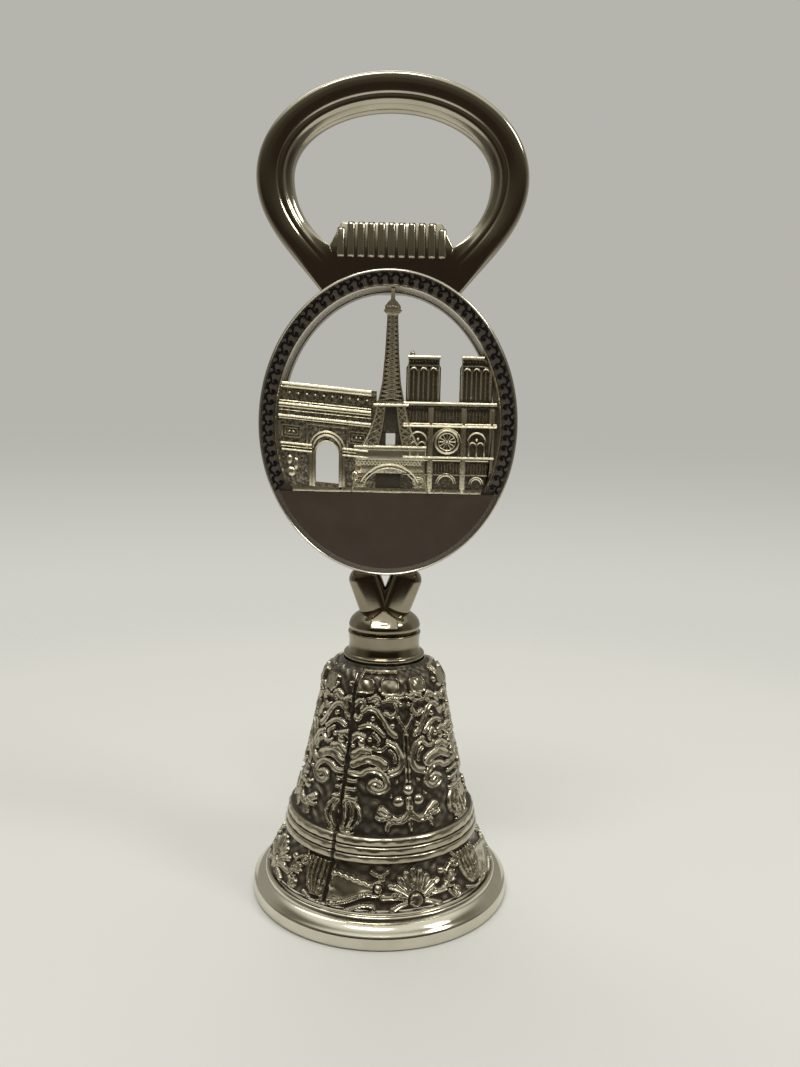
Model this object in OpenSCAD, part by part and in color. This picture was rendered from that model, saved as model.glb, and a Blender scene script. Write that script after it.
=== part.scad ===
// Table bell with a bottle opener handle and an openwork city medallion.
// Units are millimetres. Z is up, the bell's mouth stands on Z = 0 and the front faces -Y.

/* [Bell] */
// Largest radius of the bell's lip
rim_r = 22.9; // [20:0.1:28]
// Height of the bell from the mouth to the crown face
bell_h = 42.4; // [36:0.1:52]
// Radius of the bell at the bottom of the leaf band
band_r = 20.6; // [18:0.1:22]
// Radius of the bell at the bottom of the scroll field
field_r = 16.1; // [14:0.1:17.5]
// Radius of the bell where the shoulder starts
shoulder_r = 11.3; // [9.5:0.1:13]
// Wall of the bell
bell_wall = 1.9; // [1.2:0.1:2.6]
// Thickness of the crown that the stud passes through
crown_t = 2.8; // [2:0.1:4]

/* [Neck ferrule] */
// Radius of the ferrule's spool
ferrule_r = 6.4; // [5.4:0.1:7.6]
// Height of the ferrule
ferrule_h = 4.7; // [3.5:0.1:7]
// How far the ferrule's bottom flange stands out of the spool
flange_proud = 0.75; // [0.3:0.05:1.5]
// Height of the ferrule's bottom flange
flange_h = 1.15; // [0.6:0.05:2]

/* [Handle] */
// Thickness of the handle casting
handle_t = 5; // [4:0.1:7]
// Radius of the domed foot of the handle
dome_r = 6.25; // [5.4:0.05:7.6]
// Height of the domed foot
dome_h = 3.9; // [3:0.1:6]
// Distance from the dome's top to the crotch of the forked stem
fork_rise = 1.55; // [1:0.05:3]
// Width of each leg of the forked stem
leg_w = 4.9; // [3.5:0.1:6]
// Angle of each leg from upright
leg_lean = 20; // [16:0.5:24]

/* [Opener ring] */
// Outside half width of the opener ring
ring_a = 22.5; // [20:0.1:28]
// Rise of the ring above its widest point
ring_b = 16.7; // [14:0.1:20]
// Height of the ring's widest point above the medallion's top
ring_lift = 14.6; // [12:0.1:18]
// Half width of the cap opening
hole_a = 16.25; // [15:0.05:18]
// Rise of the cap opening above its widest point
hole_b = 10.4; // [8:0.1:12]
// Depth of the cap opening's corners below its widest point
hole_drop = 11.1; // [9:0.1:12]
// Share of the ring's band that the outer bead takes
bead_share = 0.6; // [0.4:0.05:0.75]
// Drop of the inner band behind the outer bead, on each face
band_step = 0.5; // [0.2:0.05:1]

/* [Cap lifting tongue] */
// Half width of the tongue's tip
tongue_tip = 8.3; // [6:0.1:10]
// Height of the tongue's tip above the opening's corners
tongue_rise = 4; // [2.5:0.1:6]
// Number of ribs on the tongue
rib_count = 11; // [5:1:17]
// How far the ribs stand out of the tongue
rib_proud = 0.45; // [0.2:0.05:0.8]

/* [Medallion] */
// Half width of the oval medallion
oval_a = 21.85; // [19:0.05:26]
// Half height of the oval medallion
oval_b = 25.7; // [22:0.1:31]
// Thickness of the medallion's rim
rim_t = 2.6; // [2:0.1:4]
// Width of the patterned band of the rim, beads included
rim_band = 3.15; // [2.6:0.05:4]
// Width of the ledge that the skyline plate is seated on
ledge_w = 0.75; // [0.5:0.05:1.2]
// Depth of the ledge below the rim's beads
ledge_drop = 1.2; // [0.8:0.1:1.6]
// Width of each bead beside the enamel
bead_w = 0.45; // [0.3:0.05:0.8]
// Depth of the enamel channel
channel_d = 0.4; // [0.2:0.05:0.8]
// Depth of the medallion's back face behind the handle's front face
seat_depth = 1.9; // [1.2:0.1:2.6]
// Radius of the four pegs that hold the medallion on the handle
peg_r = 0.9; // [0.6:0.05:1.2]
// Length of the pegs
peg_l = 1.8; // [1:0.1:2.4]

/* [Skyline] */
// Thickness of the openwork skyline plate
plate_t = 1.15; // [0.9:0.05:1.6]
// Height of the street line below the medallion's centre
street_drop = 11.4; // [9:0.1:14]
// Thickness of the enamel name panel
panel_t = 0.8; // [0.5:0.05:1.1]

/* [Clapper hanger] */
// Radius of the threaded stud
stud_r = 2; // [1.5:0.1:2.5]
// Depth of the stud in the domed foot
stud_grip = 3.2; // [2.2:0.1:4.5]
// Thickness of the nut
nut_t = 3.2; // [2:0.1:4]
// Width of the nut across its flats
nut_af = 7; // [5.5:0.1:8]
// Thickness of the washer
washer_t = 0.8; // [0.4:0.1:1.2]
// Outside radius of the washer
washer_r = 4.5; // [4:0.1:5]
// Thickness of the stud's flat tang
tang_t = 1.6; // [1:0.1:2]
// Radius of the wire of the link and the clapper's eye
wire_r = 0.5; // [0.35:0.05:0.6]
// Radius of the ring link, to the middle of its wire
link_r = 2.4; // [2.1:0.1:3]
// How much thicker than the eye's wire the clapper's shank is
shank_proud = 0.12; // [0.08:0.01:0.3]
// Radius of the clapper's eye, to the middle of its wire
eye_r = 1.5; // [1.3:0.1:2]
// Radius of the clapper's ball
ball_r = 4.4; // [3:0.1:5.5]
// Height of the ball's centre above the bell's mouth
ball_z = 13; // [10:0.1:15]

/* [Hidden] */
$fn = 64;

fit_gap = 0.1;       // clearance between seated pieces
bore_gap = 0.12;     // radial clearance of the stud's through holes
thread_gap = 0.02;   // radial clearance of threads drawn as plain cylinders
curve_steps = 14;    // segments of each curved stretch of an outline
metal = "#b3aa9c";
enamel = "#17151a";
steel = "#c8c8c6";

// Heights of the stack, from the mouth up
crown_in_z = bell_h - crown_t;
flange_r = ferrule_r + flange_proud;
ferrule_top = bell_h + ferrule_h;
shadow_gap = 0.4;
dome_z = ferrule_top + shadow_gap;
dome_top = dome_z + dome_h;
fork_z = dome_top + fork_rise;
leg_base = fork_z - 2.6;
medallion_gap = 5.95;
oval_z = dome_top + medallion_gap + oval_b;
oval_top = oval_z + oval_b;
ring_z = oval_top + ring_lift;
corner_z = ring_z - hole_drop;
corner_x = hole_a * 0.634;
tongue_z = corner_z + tongue_rise;

// Depths, front to back
front_y = -handle_t / 2;
back_y = handle_t / 2;
seat_y = front_y + seat_depth;
rim_front = seat_y - rim_t;
ledge_y = rim_front + ledge_drop;
street_z = oval_z - street_drop;

function bezier2(a, b, c, n) = [for (i = [0 : n]) let (t = i / n)
    (1 - t) * (1 - t) * a + 2 * t * (1 - t) * b + t * t * c];
function bezier3(a, b, c, d, n) = [for (i = [0 : n]) let (t = i / n)
    pow(1 - t, 3) * a + 3 * t * pow(1 - t, 2) * b + 3 * t * t * (1 - t) * c + pow(t, 3) * d];
function oval(a, b, n = 72) = [for (i = [0 : n - 1]) [a * cos(360 * i / n), b * sin(360 * i / n)]];
function flip(points) = [for (i = [len(points) - 1 : -1 : 0]) [-points[i][0], points[i][1]]];

// Solid between two depths, from an outline drawn in X and Z
module front_plate(y_front, y_back) {
    translate([0, y_back, 0]) rotate([90, 0, 0]) linear_extrude(y_back - y_front) children();
}

// ---------------------------------------------------------------- bell
lip_h = 1.6;
rim_top = 4.4;
band_z0 = 4.9;
band_z1 = 12.2;
field_z = 15.8;
shoulder_z = bell_h - 5.9;
ridge_r = field_r + 0.85;
foot_w = 2.1;

bell_lip = [[rim_r - foot_w, 0], [rim_r - 0.5, 0], [rim_r - 0.1, 0.35], [rim_r, lip_h]];
bell_roll = bezier2([rim_r - 0.15, lip_h + 0.1], [rim_r - 0.45, rim_top - 0.8], [band_r + 0.45, rim_top], 6);
bell_band = bezier2([band_r, band_z0], [band_r - 1.9, band_z0 + 4.1], [ridge_r, band_z1], 8);
bell_field = bezier2([field_r, field_z], [field_r - 2.5, field_z + 8.7], [shoulder_r, shoulder_z], curve_steps);
bell_shoulder = [for (i = [1 : 10]) let (t = 90 * i / 10)
    [flange_r + (shoulder_r - flange_r) * cos(t), shoulder_z + (bell_h - shoulder_z) * sin(t)]];

function inward(points) = [for (p = points) [p[0] - bell_wall, p[1]]];

module bell_outside() {
    rotate_extrude() polygon(concat([[0, 0]], bell_lip, bell_roll, bell_band, [[field_r + 0.5, field_z]],
                                    bell_field, bell_shoulder, [[0, bell_h]]));
}

module bell_hollow() {
    inner = concat([[rim_r - foot_w, -1], [rim_r - foot_w, rim_top - 1.4]],
                   inward([for (i = [1 : 8]) bell_band[i]]), inward(bell_field),
                   [[shoulder_r - bell_wall - 0.9, crown_in_z - 0.7], [shoulder_r - bell_wall - 2.4, crown_in_z]]);
    rotate_extrude() polygon(concat([[0, -1]], inner, [[0, crown_in_z]]));
}

module bell_body() color(metal) difference() {
    bell_outside();
    bell_hollow();
    translate([0, 0, crown_in_z - 1]) cylinder(r = stud_r + bore_gap, h = crown_t + 2);
}

// ---------------------------------------------------------------- neck ferrule
module neck_ferrule() color(metal) {
    spool = bezier2([ferrule_r, flange_h + 0.25], [ferrule_r - 0.45, ferrule_h * 0.6], [ferrule_r, ferrule_h - 0.3], 8);
    bore_r = stud_r + bore_gap;
    translate([0, 0, bell_h]) rotate_extrude()
        polygon(concat([[bore_r, 0], [flange_r - 0.3, 0], [flange_r, 0.3], [flange_r, flange_h - 0.3],
                        [flange_r - 0.3, flange_h]], spool, [[ferrule_r - 0.3, ferrule_h], [bore_r, ferrule_h]]));
}

// ---------------------------------------------------------------- handle
waist = [ring_a * 0.537, oval_top - 3.3];
arm_end = [waist[0] - 2.6, waist[1] - 3.1];

// Right half of the opener ring, from its top down: share 0 is the outside and 1 is the cap opening
function ring_side(share) =
    let (a = ring_a + (hole_a - ring_a) * share, b = ring_b + (hole_b - ring_b) * share,
         end = waist + ([corner_x, corner_z] - waist) * share,
         p1 = [a, ring_z - 7.3 + 2.7 * share], p2 = [ring_a * 0.756 - 3 * share, ring_z - 11.9 + 4 * share])
    concat([for (i = [0 : curve_steps]) let (t = 90 - 90 * i / curve_steps) [a * cos(t), ring_z + b * sin(t)]],
           [for (i = [1 : curve_steps]) bezier3([a, ring_z], p1, p2, end, curve_steps)[i]]);

module ring_outline() {
    side = concat(ring_side(0), [arm_end]);
    polygon(concat(side, flip(side)));
}

module cap_opening() {
    side = concat(ring_side(1), [[tongue_tip, tongue_z]]);
    polygon(concat(side, flip(side)));
}

// Inside of the outer bead, carried down both arms
module bead_inside() {
    side = concat(ring_side(bead_share), [[arm_end[0] - 3.2, arm_end[1]]]);
    polygon(concat(side, flip(side)));
}

module ring_and_arms() {
    inner_t = handle_t / 2 - band_step;
    front_plate(-inner_t, inner_t) difference() {
        ring_outline();
        cap_opening();
    }
    front_plate(front_y, back_y) difference() {
        ring_outline();
        bead_inside();
    }
}

module carrier_outline() {
    translate([0, oval_z]) difference() {
        polygon(oval(oval_a - 0.25, oval_b - 0.25));
        polygon(oval(oval_a - rim_band - ledge_w, oval_b - rim_band - ledge_w));
    }
}

module leg_outline() {
    reach = 9.5;
    out = [sin(leg_lean), cos(leg_lean)];
    side = [cos(leg_lean), -sin(leg_lean)];
    root = [-0.9, leg_base];
    polygon([root, root + out * reach, root + out * reach + side * leg_w, root + side * leg_w]);
}

module forked_stem() {
    front_plate(front_y, back_y) intersection() {
        union() {
            leg_outline();
            mirror([1, 0]) leg_outline();
        }
        translate([-20, dome_z + 1.2]) square([40, 30]);
    }
}

module domed_foot() {
    dome = [for (i = [0 : 12]) let (t = 90 * i / 12) [dome_r * cos(t), 0.6 + (dome_h - 0.6) * sin(t)]];
    translate([0, 0, dome_z]) rotate_extrude() polygon(concat([[0, 0], [dome_r - 0.25, 0], [dome_r, 0.3]], dome));
    translate([0, 0, ferrule_top]) cylinder(r = dome_r - 0.9, h = shadow_gap + 0.5);
}

rib_pitch = 2 * (tongue_tip + 0.9) / rib_count;
rib_foot_z = corner_z - 1.4;

module tongue_ribs() {
    rib_r = rib_pitch / 2 - 0.04;
    rib_y = -(handle_t / 2 - band_step) - rib_proud + rib_r;
    for (i = [0 : rib_count - 1]) {
        x = (i - (rib_count - 1) / 2) * rib_pitch;
        top = min(tongue_z, corner_z + tongue_rise * (corner_x - abs(x) - rib_r) / (corner_x - tongue_tip));
        if (top > corner_z)
            translate([x, rib_y, rib_foot_z]) cylinder(r = rib_r, h = top - rib_foot_z);
    }
}

peg_spots = [for (t = [48, 132, 222, 318])
    [(oval_a - 2) * cos(t), oval_z + (oval_b - 2) * sin(t)]];

module opener_handle() color(metal) difference() {
    union() {
        difference() {
            union() {
                ring_and_arms();
                forked_stem();
                tongue_ribs();
            }
            // Seat of the medallion, and the space behind it
            front_plate(front_y - 1, seat_y) translate([0, oval_z]) polygon(oval(oval_a + fit_gap, oval_b + fit_gap));
            front_plate(front_y - 1, back_y + 1) translate([0, oval_z]) polygon(oval(oval_a - 3, oval_b - 3));
        }
        front_plate(seat_y, back_y) carrier_outline();
        domed_foot();
    }
    translate([0, 0, ferrule_top - 1]) cylinder(r = stud_r + thread_gap, h = 1 + stud_grip + fit_gap);
    for (p = peg_spots)
        translate([p[0], seat_y + peg_l + fit_gap, p[1]]) rotate([90, 0, 0])
            cylinder(r = peg_r + 0.05, h = peg_l + fit_gap + 1);
}

// ---------------------------------------------------------------- medallion
module oval_band(inset_out, inset_in, y_front, y_back) {
    front_plate(y_front, y_back) translate([0, oval_z]) difference() {
        polygon(oval(oval_a - inset_out, oval_b - inset_out));
        polygon(oval(oval_a - inset_in, oval_b - inset_in));
    }
}

// Outline of everything below the street line
module below_street(gap) {
    translate([-2 * oval_a, oval_z - 2 * oval_b]) square([4 * oval_a, 2 * oval_b - street_drop - gap]);
}

module medallion_rim() color(metal) {
    channel_y = rim_front + channel_d;
    difference() {
        union() {
            oval_band(0, rim_band, rim_front, seat_y);
            oval_band(rim_band - 0.1, rim_band + ledge_w, ledge_y, seat_y);
        }
        difference() {
            oval_band(bead_w, rim_band - bead_w, rim_front - 1, channel_y);
            front_plate(rim_front - 2, seat_y + 1) below_street(0);
        }
        // Recess of the name panel
        front_plate(rim_front - 1, ledge_y) name_outline(0);
    }
    for (p = peg_spots)
        translate([p[0], seat_y + peg_l, p[1]]) rotate([90, 0, 0]) cylinder(r = peg_r, h = peg_l + 0.3);
}

module rim_enamel() color(enamel) difference() {
    oval_band(bead_w + 0.03, rim_band - bead_w - 0.03, rim_front + 0.1, rim_front + channel_d);
    front_plate(rim_front - 1, seat_y) below_street(-0.05);
}

// Lower segment of the oval, for the panel that carries no lettering
module name_outline(gap) {
    intersection() {
        translate([0, oval_z]) polygon(oval(oval_a - bead_w - gap, oval_b - bead_w - gap));
        below_street(gap);
    }
}

module name_panel() color("#33291f") {
    front_plate(ledge_y - panel_t, ledge_y) name_outline(0.08);
}

// ---------------------------------------------------------------- skyline plate
seat_a = oval_a - rim_band - 0.06;
seat_b = oval_b - rim_band - 0.06;
su = seat_a / 18.65;   // the skyline is drawn for a seat of 18.65 by 22.5 and follows its size
sv = seat_b / 22.5;
attic_top = 5.7 * sv;
arch_x = -10.2 * su;
arch_r = 1.9 * su;
arch_spring = -6 * sv;
block_top = 4.2 * sv;
tower_top = 11.7 * sv;
tower_edges = [[2.8 * su, 8.8 * su], [11.9 * su, 17.4 * su]];

module triumphal_arch_shape() difference() {
    translate([-seat_a, -street_drop]) square([seat_a - 2 * su, street_drop + attic_top]);
    translate([arch_x, arch_spring]) circle(r = arch_r);
    translate([arch_x - arch_r, -street_drop + 0.8]) square([2 * arch_r, street_drop - 0.8 + arch_spring]);
}

module cathedral_shape() {
    translate([2 * su, -street_drop]) square([seat_a - 2 * su, street_drop + block_top]);
    for (edge = tower_edges)
        translate([edge[0], block_top - 1]) square([edge[1] - edge[0], tower_top - block_top + 1]);
}

module lattice_tower_shape() {
    legs = bezier2([6.4 * su, -street_drop], [4.2 * su, -5 * sv], [2.6 * su, 4 * sv], 8);
    shaft = bezier2([2.3 * su, 4.4 * sv], [1.5 * su, 9 * sv], [0.85 * su, 18.2 * sv], 8);
    lantern = [for (p = [[1.3, 18.7], [1.3, 19.8], [0.6, 20.6], [0.3, 22.5]]) [p[0] * su, p[1] * sv]];
    half = concat(legs, shaft, lantern);
    difference() {
        polygon(concat(half, flip(half)));
        translate([-0.8 * su, -3 * sv]) square([1.6 * su, 1.6 * sv]);
    }
}

module skyline_plate() color(metal) front_plate(ledge_y - plate_t, ledge_y) translate([0, oval_z]) intersection() {
    union() {
        triumphal_arch_shape();
        cathedral_shape();
        lattice_tower_shape();
    }
    polygon(oval(seat_a, seat_b));
}

// ---------------------------------------------------------------- clapper hanger
shank_r = wire_r + shank_proud;
tang_hole_r = wire_r + 0.3;
stud_top = ferrule_top + stud_grip;
nut_z = crown_in_z - washer_t - nut_t;
tang_z1 = nut_z - 0.9;
link_top = tang_z1 - 1.4;
tang_z0 = link_top - tang_hole_r - 0.75;
link_z = link_top - link_r;
eye_top = link_z - link_r + 2 * wire_r + 0.12;
eye_z = eye_top - eye_r;

module hanger_stud() color(steel) difference() {
    translate([0, 0, tang_z0]) cylinder(r = stud_r, h = stud_top - tang_z0);
    for (s = [-1, 1])
        translate([-4, s > 0 ? tang_t / 2 : -4 - tang_t / 2, tang_z0 - 1]) cube([8, 4, tang_z1 - tang_z0 + 1]);
    translate([0, 4, link_top]) rotate([90, 0, 0]) cylinder(r = tang_hole_r, h = 8);
}

module crown_washer() color(steel) translate([0, 0, crown_in_z - washer_t]) difference() {
    cylinder(r = washer_r, h = washer_t);
    translate([0, 0, -1]) cylinder(r = stud_r + bore_gap, h = washer_t + 2);
}

module crown_nut() color(steel) translate([0, 0, nut_z]) difference() {
    intersection() {
        cylinder(r = nut_af / 2 / cos(30), h = nut_t, $fn = 6);
        cylinder(r1 = nut_af / 2, r2 = nut_af / 2 + nut_t, h = nut_t);
    }
    translate([0, 0, -1]) cylinder(r = stud_r + thread_gap, h = nut_t + 2);
}

module wire_ring(radius) rotate_extrude() translate([radius, 0]) circle(r = wire_r);

module clapper_link() color(steel) translate([0, 0, link_z]) rotate([0, 90, 0]) wire_ring(link_r);

// Eye and shank of the clapper, in one piece
module clapper_wire() color(steel) {
    translate([0, 0, eye_z]) rotate([90, 0, 0]) wire_ring(eye_r);
    translate([0, 0, ball_z]) cylinder(r = shank_r, h = eye_z - eye_r - ball_z);
}

module clapper_ball() color(metal) translate([0, 0, ball_z]) difference() {
    sphere(r = ball_r);
    cylinder(r = shank_r + thread_gap, h = ball_r + 1);
}

bell_body();
neck_ferrule();
opener_handle();
medallion_rim();
rim_enamel();
skyline_plate();
name_panel();
hanger_stud();
crown_washer();
crown_nut();
clapper_link();
clapper_wire();
clapper_ball();
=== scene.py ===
"""Looks of a cast table bell with a bottle opener handle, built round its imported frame."""

import logging
from dataclasses import dataclass, field
from enum import Enum
from math import asin, comb, copysign, cos, degrees, hypot, pi, radians, sin, sqrt
from typing import Sequence

import bmesh
import bpy
import numpy as np
from mathutils import Matrix, Vector


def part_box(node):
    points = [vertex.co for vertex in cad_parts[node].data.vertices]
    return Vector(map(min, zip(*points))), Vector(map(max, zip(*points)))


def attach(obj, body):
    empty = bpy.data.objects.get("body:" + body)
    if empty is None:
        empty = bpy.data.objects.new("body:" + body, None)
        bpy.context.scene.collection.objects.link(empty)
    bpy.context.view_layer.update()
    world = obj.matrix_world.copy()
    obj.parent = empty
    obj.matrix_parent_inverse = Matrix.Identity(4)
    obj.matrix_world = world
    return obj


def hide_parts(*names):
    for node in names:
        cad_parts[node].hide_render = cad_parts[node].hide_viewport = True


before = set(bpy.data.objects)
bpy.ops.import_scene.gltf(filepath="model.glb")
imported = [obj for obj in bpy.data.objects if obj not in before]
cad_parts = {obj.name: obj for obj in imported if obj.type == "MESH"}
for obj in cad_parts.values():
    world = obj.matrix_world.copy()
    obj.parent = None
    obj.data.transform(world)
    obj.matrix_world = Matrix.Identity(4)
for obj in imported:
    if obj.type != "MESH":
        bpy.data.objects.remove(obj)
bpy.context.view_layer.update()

LOG = logging.getLogger("bell_opener")
MM = 0.001
Point = tuple[float, float]
Path = Sequence[Point]
Colour = tuple[float, float, float]
Array = np.ndarray
Solid = tuple[Array, Sequence]
Socket = bpy.types.NodeSocket
Piece = bpy.types.Object
Material = bpy.types.Material
SHOULDER_FALL = 0.215  # drop of a roof-shaped bar's shoulders, as a share of its width
FAR_OFF = 9.0  # distance that no point of a small pattern reaches, in millimetres
TINY = 1e-9  # keeps a division from failing


class Body(Enum):
    """The bodies that a piece can ride on."""

    BELL = "bell"
    LINK = "link"
    CLAPPER = "clapper"


class Stud(Enum):
    """The small round-faced parts that the skyline repeats."""

    DOT = "dot"
    POST = "post"


# ---------------------------------------------------------------- shader maths
class Sock:
    """A shader socket that takes part in Python expressions."""

    def __init__(self, nodes: "ShaderTree", socket: Socket) -> None:
        """Keeps the socket and the tree that new nodes go to."""
        self.nodes = nodes
        self.socket = socket

    def _math(self, operation: str, first: object, second: object) -> "Sock":
        """Adds one Math node and returns its result."""
        return self.nodes.add("ShaderNodeMath", {"operation": operation}, {0: first, 1: second})

    def __add__(self, other: object) -> "Sock":
        """Sum."""
        return self._math("ADD", self, other)

    __radd__ = __add__

    def __sub__(self, other: object) -> "Sock":
        """Difference."""
        return self._math("SUBTRACT", self, other)

    def __rsub__(self, other: object) -> "Sock":
        """Reflected difference."""
        return self._math("SUBTRACT", other, self)

    def __mul__(self, other: object) -> "Sock":
        """Product."""
        return self._math("MULTIPLY", self, other)

    __rmul__ = __mul__

    def __pow__(self, other: object) -> "Sock":
        """Power."""
        return self._math("POWER", self, other)


class ShaderTree:
    """Builds the node tree of one material or world."""

    def __init__(self, tree: bpy.types.NodeTree) -> None:
        """Clears the tree."""
        self.tree = tree
        tree.nodes.clear()

    def add(self, kind: str, settings: dict | None = None, inputs: dict | None = None, out: int | str = 0) -> Sock:
        """Adds a node.

        Args:
            kind: The node's type.
            settings: Properties that are set first; "stops" fills a colour ramp.
            inputs: Values or Socks by the input's name or number.
            out: The output that is returned.

        Returns:
            The chosen output.
        """
        node = self.tree.nodes.new(kind)
        for key, value in (settings or {}).items():
            if key == "stops":
                ramp = node.color_ramp.elements
                while len(ramp) < len(value):
                    ramp.new(0.5)
                for stop, (place, colour) in zip(ramp, value):
                    stop.position = place
                    stop.color = (*colour, 1.0)
            else:
                setattr(node, key, value)
        for key, value in (inputs or {}).items():
            if isinstance(value, Sock):
                self.tree.links.new(value.socket, node.inputs[key])
            else:
                node.inputs[key].default_value = value
        return Sock(self, node.outputs[out] if node.outputs else None)

    def place(self) -> Sock:
        """Object coordinates, in metres."""
        return self.add("ShaderNodeTexCoord", out="Object")

    def axis(self, vector: Sock, index: int) -> Sock:
        """One component of a vector."""
        return self.add("ShaderNodeSeparateXYZ", {}, {0: vector}, out=index)

    def noise(self, scale: float, detail: float = 3.0, rough: float = 0.55, vector: Sock | None = None) -> Sock:
        """Noise from 0 to 1, with scale in cycles a metre.

        Args:
            scale: Cycles a metre.
            detail: Octaves.
            rough: Weight of each finer octave.
            vector: Coordinates, or None for the object's own.

        Returns:
            The noise.
        """
        where = vector or self.place()
        return self.add("ShaderNodeTexNoise", {}, {"Vector": where, "Scale": scale, "Detail": detail,
                                                   "Roughness": rough})

    def ramp(self, value: Sock, low: float, high: float, to_low: float = 0.0, to_high: float = 1.0) -> Sock:
        """The value mapped smoothly from one range to another and held there."""
        return self.add("ShaderNodeMapRange", {"interpolation_type": "SMOOTHSTEP"},
                        {"Value": value, "From Min": low, "From Max": high, "To Min": to_low, "To Max": to_high})

    def blend(self, factor: Sock, first: Sock | Colour, second: Sock | Colour, how: str = "MIX") -> Sock:
        """Two colours mixed by a factor.

        Args:
            factor: 0 for the first, 1 for the second.
            first: A colour or socket.
            second: A colour or socket.
            how: Blend type.

        Returns:
            The mixed colour.
        """
        node = self.tree.nodes.new("ShaderNodeMix")
        node.data_type = "RGBA"
        node.blend_type = how
        for index, value in ((0, factor), (6, first), (7, second)):
            if isinstance(value, Sock):
                self.tree.links.new(value.socket, node.inputs[index])
            elif index == 0:
                node.inputs[index].default_value = value
            else:
                node.inputs[index].default_value = (*value, 1.0)
        return Sock(self, node.outputs[2])

    def bump(self, strength: float, distance: float, inputs: dict) -> Sock:
        """A bumped normal."""
        return self.add("ShaderNodeBump", {}, {"Strength": strength, "Distance": distance, **inputs})

    def surface(self, inputs: dict) -> None:
        """Ends the tree in one Principled shader."""
        self.add("ShaderNodeOutputMaterial", {}, {0: self.add("ShaderNodeBsdfPrincipled", {}, inputs)})

    def stretched(self, size: tuple[float, float, float]) -> Sock:
        """Object coordinates stretched along the axes."""
        return self.add("ShaderNodeMapping", {}, {"Vector": self.place(), "Scale": size})


def blank_material(name: str) -> tuple[Material, ShaderTree]:
    """A new material and its empty tree.

    Args:
        name: The material's name.

    Returns:
        The material and its tree.
    """
    made = bpy.data.materials.new(name)
    made.use_nodes = True
    return made, ShaderTree(made.node_tree)


# ---------------------------------------------------------------- finishes
@dataclass(frozen=True)
class Nickel:
    """Nickel plate, darker where the metal lies low: antique toning in the hollows, deepened into painted shade."""

    name: str
    bright: Colour = (0.66, 0.62, 0.54)
    toned: Colour = (0.40, 0.35, 0.28)
    # Colour of the antique toning and painted shade in the hollows.
    dark: Colour = (0.040, 0.029, 0.020)
    roughness: float = 0.16
    cavity: bool = False
    low_y: float | None = None
    high_y: float | None = None
    dark_share: float = 0.9
    pitting: float = 0.10
    scratches: float = 0.05
    speckle: float = 0.10
    # Extra roughness where the metal is darkened by toning and painted shade.
    roughen_where_dark: float = 0.22

    def build(self) -> Material:
        """Returns the material.

        Returns:
            The material.
        """
        made, t = blank_material(self.name)
        clouds = t.noise(150.0, 4.0)
        grain = t.noise(2600.0, 3.0, 0.6)
        smear = t.noise(900.0, 2.0, 0.5, t.stretched((1.0, 1.0, 0.16)))
        tone = t.ramp(clouds, 0.35, 0.75, 0.0, 0.55)
        colour = t.blend(tone, self.bright, self.toned)
        rough = self.roughness + 0.10 * clouds + 0.07 * (smear - 0.5)
        metal: Sock | float = 1.0
        # How high the metal lies, from the cavity attribute or from depth; low metal is darkened as antique toning
        # plus painted shade.
        if self.cavity:
            high = t.add("ShaderNodeAttribute", {"attribute_name": "cavity"}, out="Fac")
        elif self.low_y is not None:
            depth = t.axis(t.place(), 1)
            high = 1.0 - t.ramp(depth, self.high_y * MM, self.low_y * MM)
        else:
            high = None
        if high is not None:
            toning_and_shade = t.ramp(high + 0.25 * (clouds - 0.5) + self.speckle * (grain - 0.5), 0.12, 0.68, self.dark_share,
                           0.0)
            colour = t.blend(toning_and_shade, colour, self.dark)
            rough = rough + self.roughen_where_dark * toning_and_shade
            metal = 1.0 - 0.45 * toning_and_shade
        bump = t.bump(self.pitting, 0.00008, {"Height": grain})
        bump = t.bump(self.scratches, 0.00010, {"Height": smear, "Normal": bump})
        t.surface({"Base Color": colour, "Roughness": rough, "Metallic": metal, "Normal": bump})
        return made


@dataclass(frozen=True)
class Enamel:
    """Glassy fired enamel over metal."""

    name: str
    colour: Colour
    fleck: Colour
    roughness: float = 0.22
    coat: float = 0.4

    def build(self) -> Material:
        """Returns the material.

        Returns:
            The material.
        """
        made, t = blank_material(self.name)
        clouds = t.noise(220.0, 4.0)
        orange_peel = t.noise(1500.0, 2.0)
        colour = t.blend(t.ramp(clouds, 0.3, 0.8), self.colour, self.fleck)
        bump = t.bump(0.12, 0.00005, {"Height": orange_peel})
        t.surface({"Base Color": colour, "Roughness": self.roughness + 0.12 * clouds, "Coat Weight": self.coat,
                   "Normal": bump})
        return made


@dataclass(frozen=True)
class Ground:
    """Pale matt sheet that the bell stands on."""

    name: str = "pale_sheet"
    colour: Colour = (0.80, 0.80, 0.785)
    edge: float = 0.25

    def build(self) -> Material:
        """Returns the material.

        Returns:
            The material.
        """
        made, t = blank_material(self.name)
        clouds = t.noise(9.0, 3.0)
        colour = t.blend(clouds * 0.35, self.colour, tuple(c * 0.93 for c in self.colour))
        place = t.place()
        far = t.add("ShaderNodeVectorMath", {"operation": "LENGTH"}, {0: place}, out="Value")
        t.surface({"Base Color": colour, "Roughness": 0.62 + 0.1 * clouds,
                   "Alpha": t.ramp(far, self.edge, self.edge * 0.62)})
        return made


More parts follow.
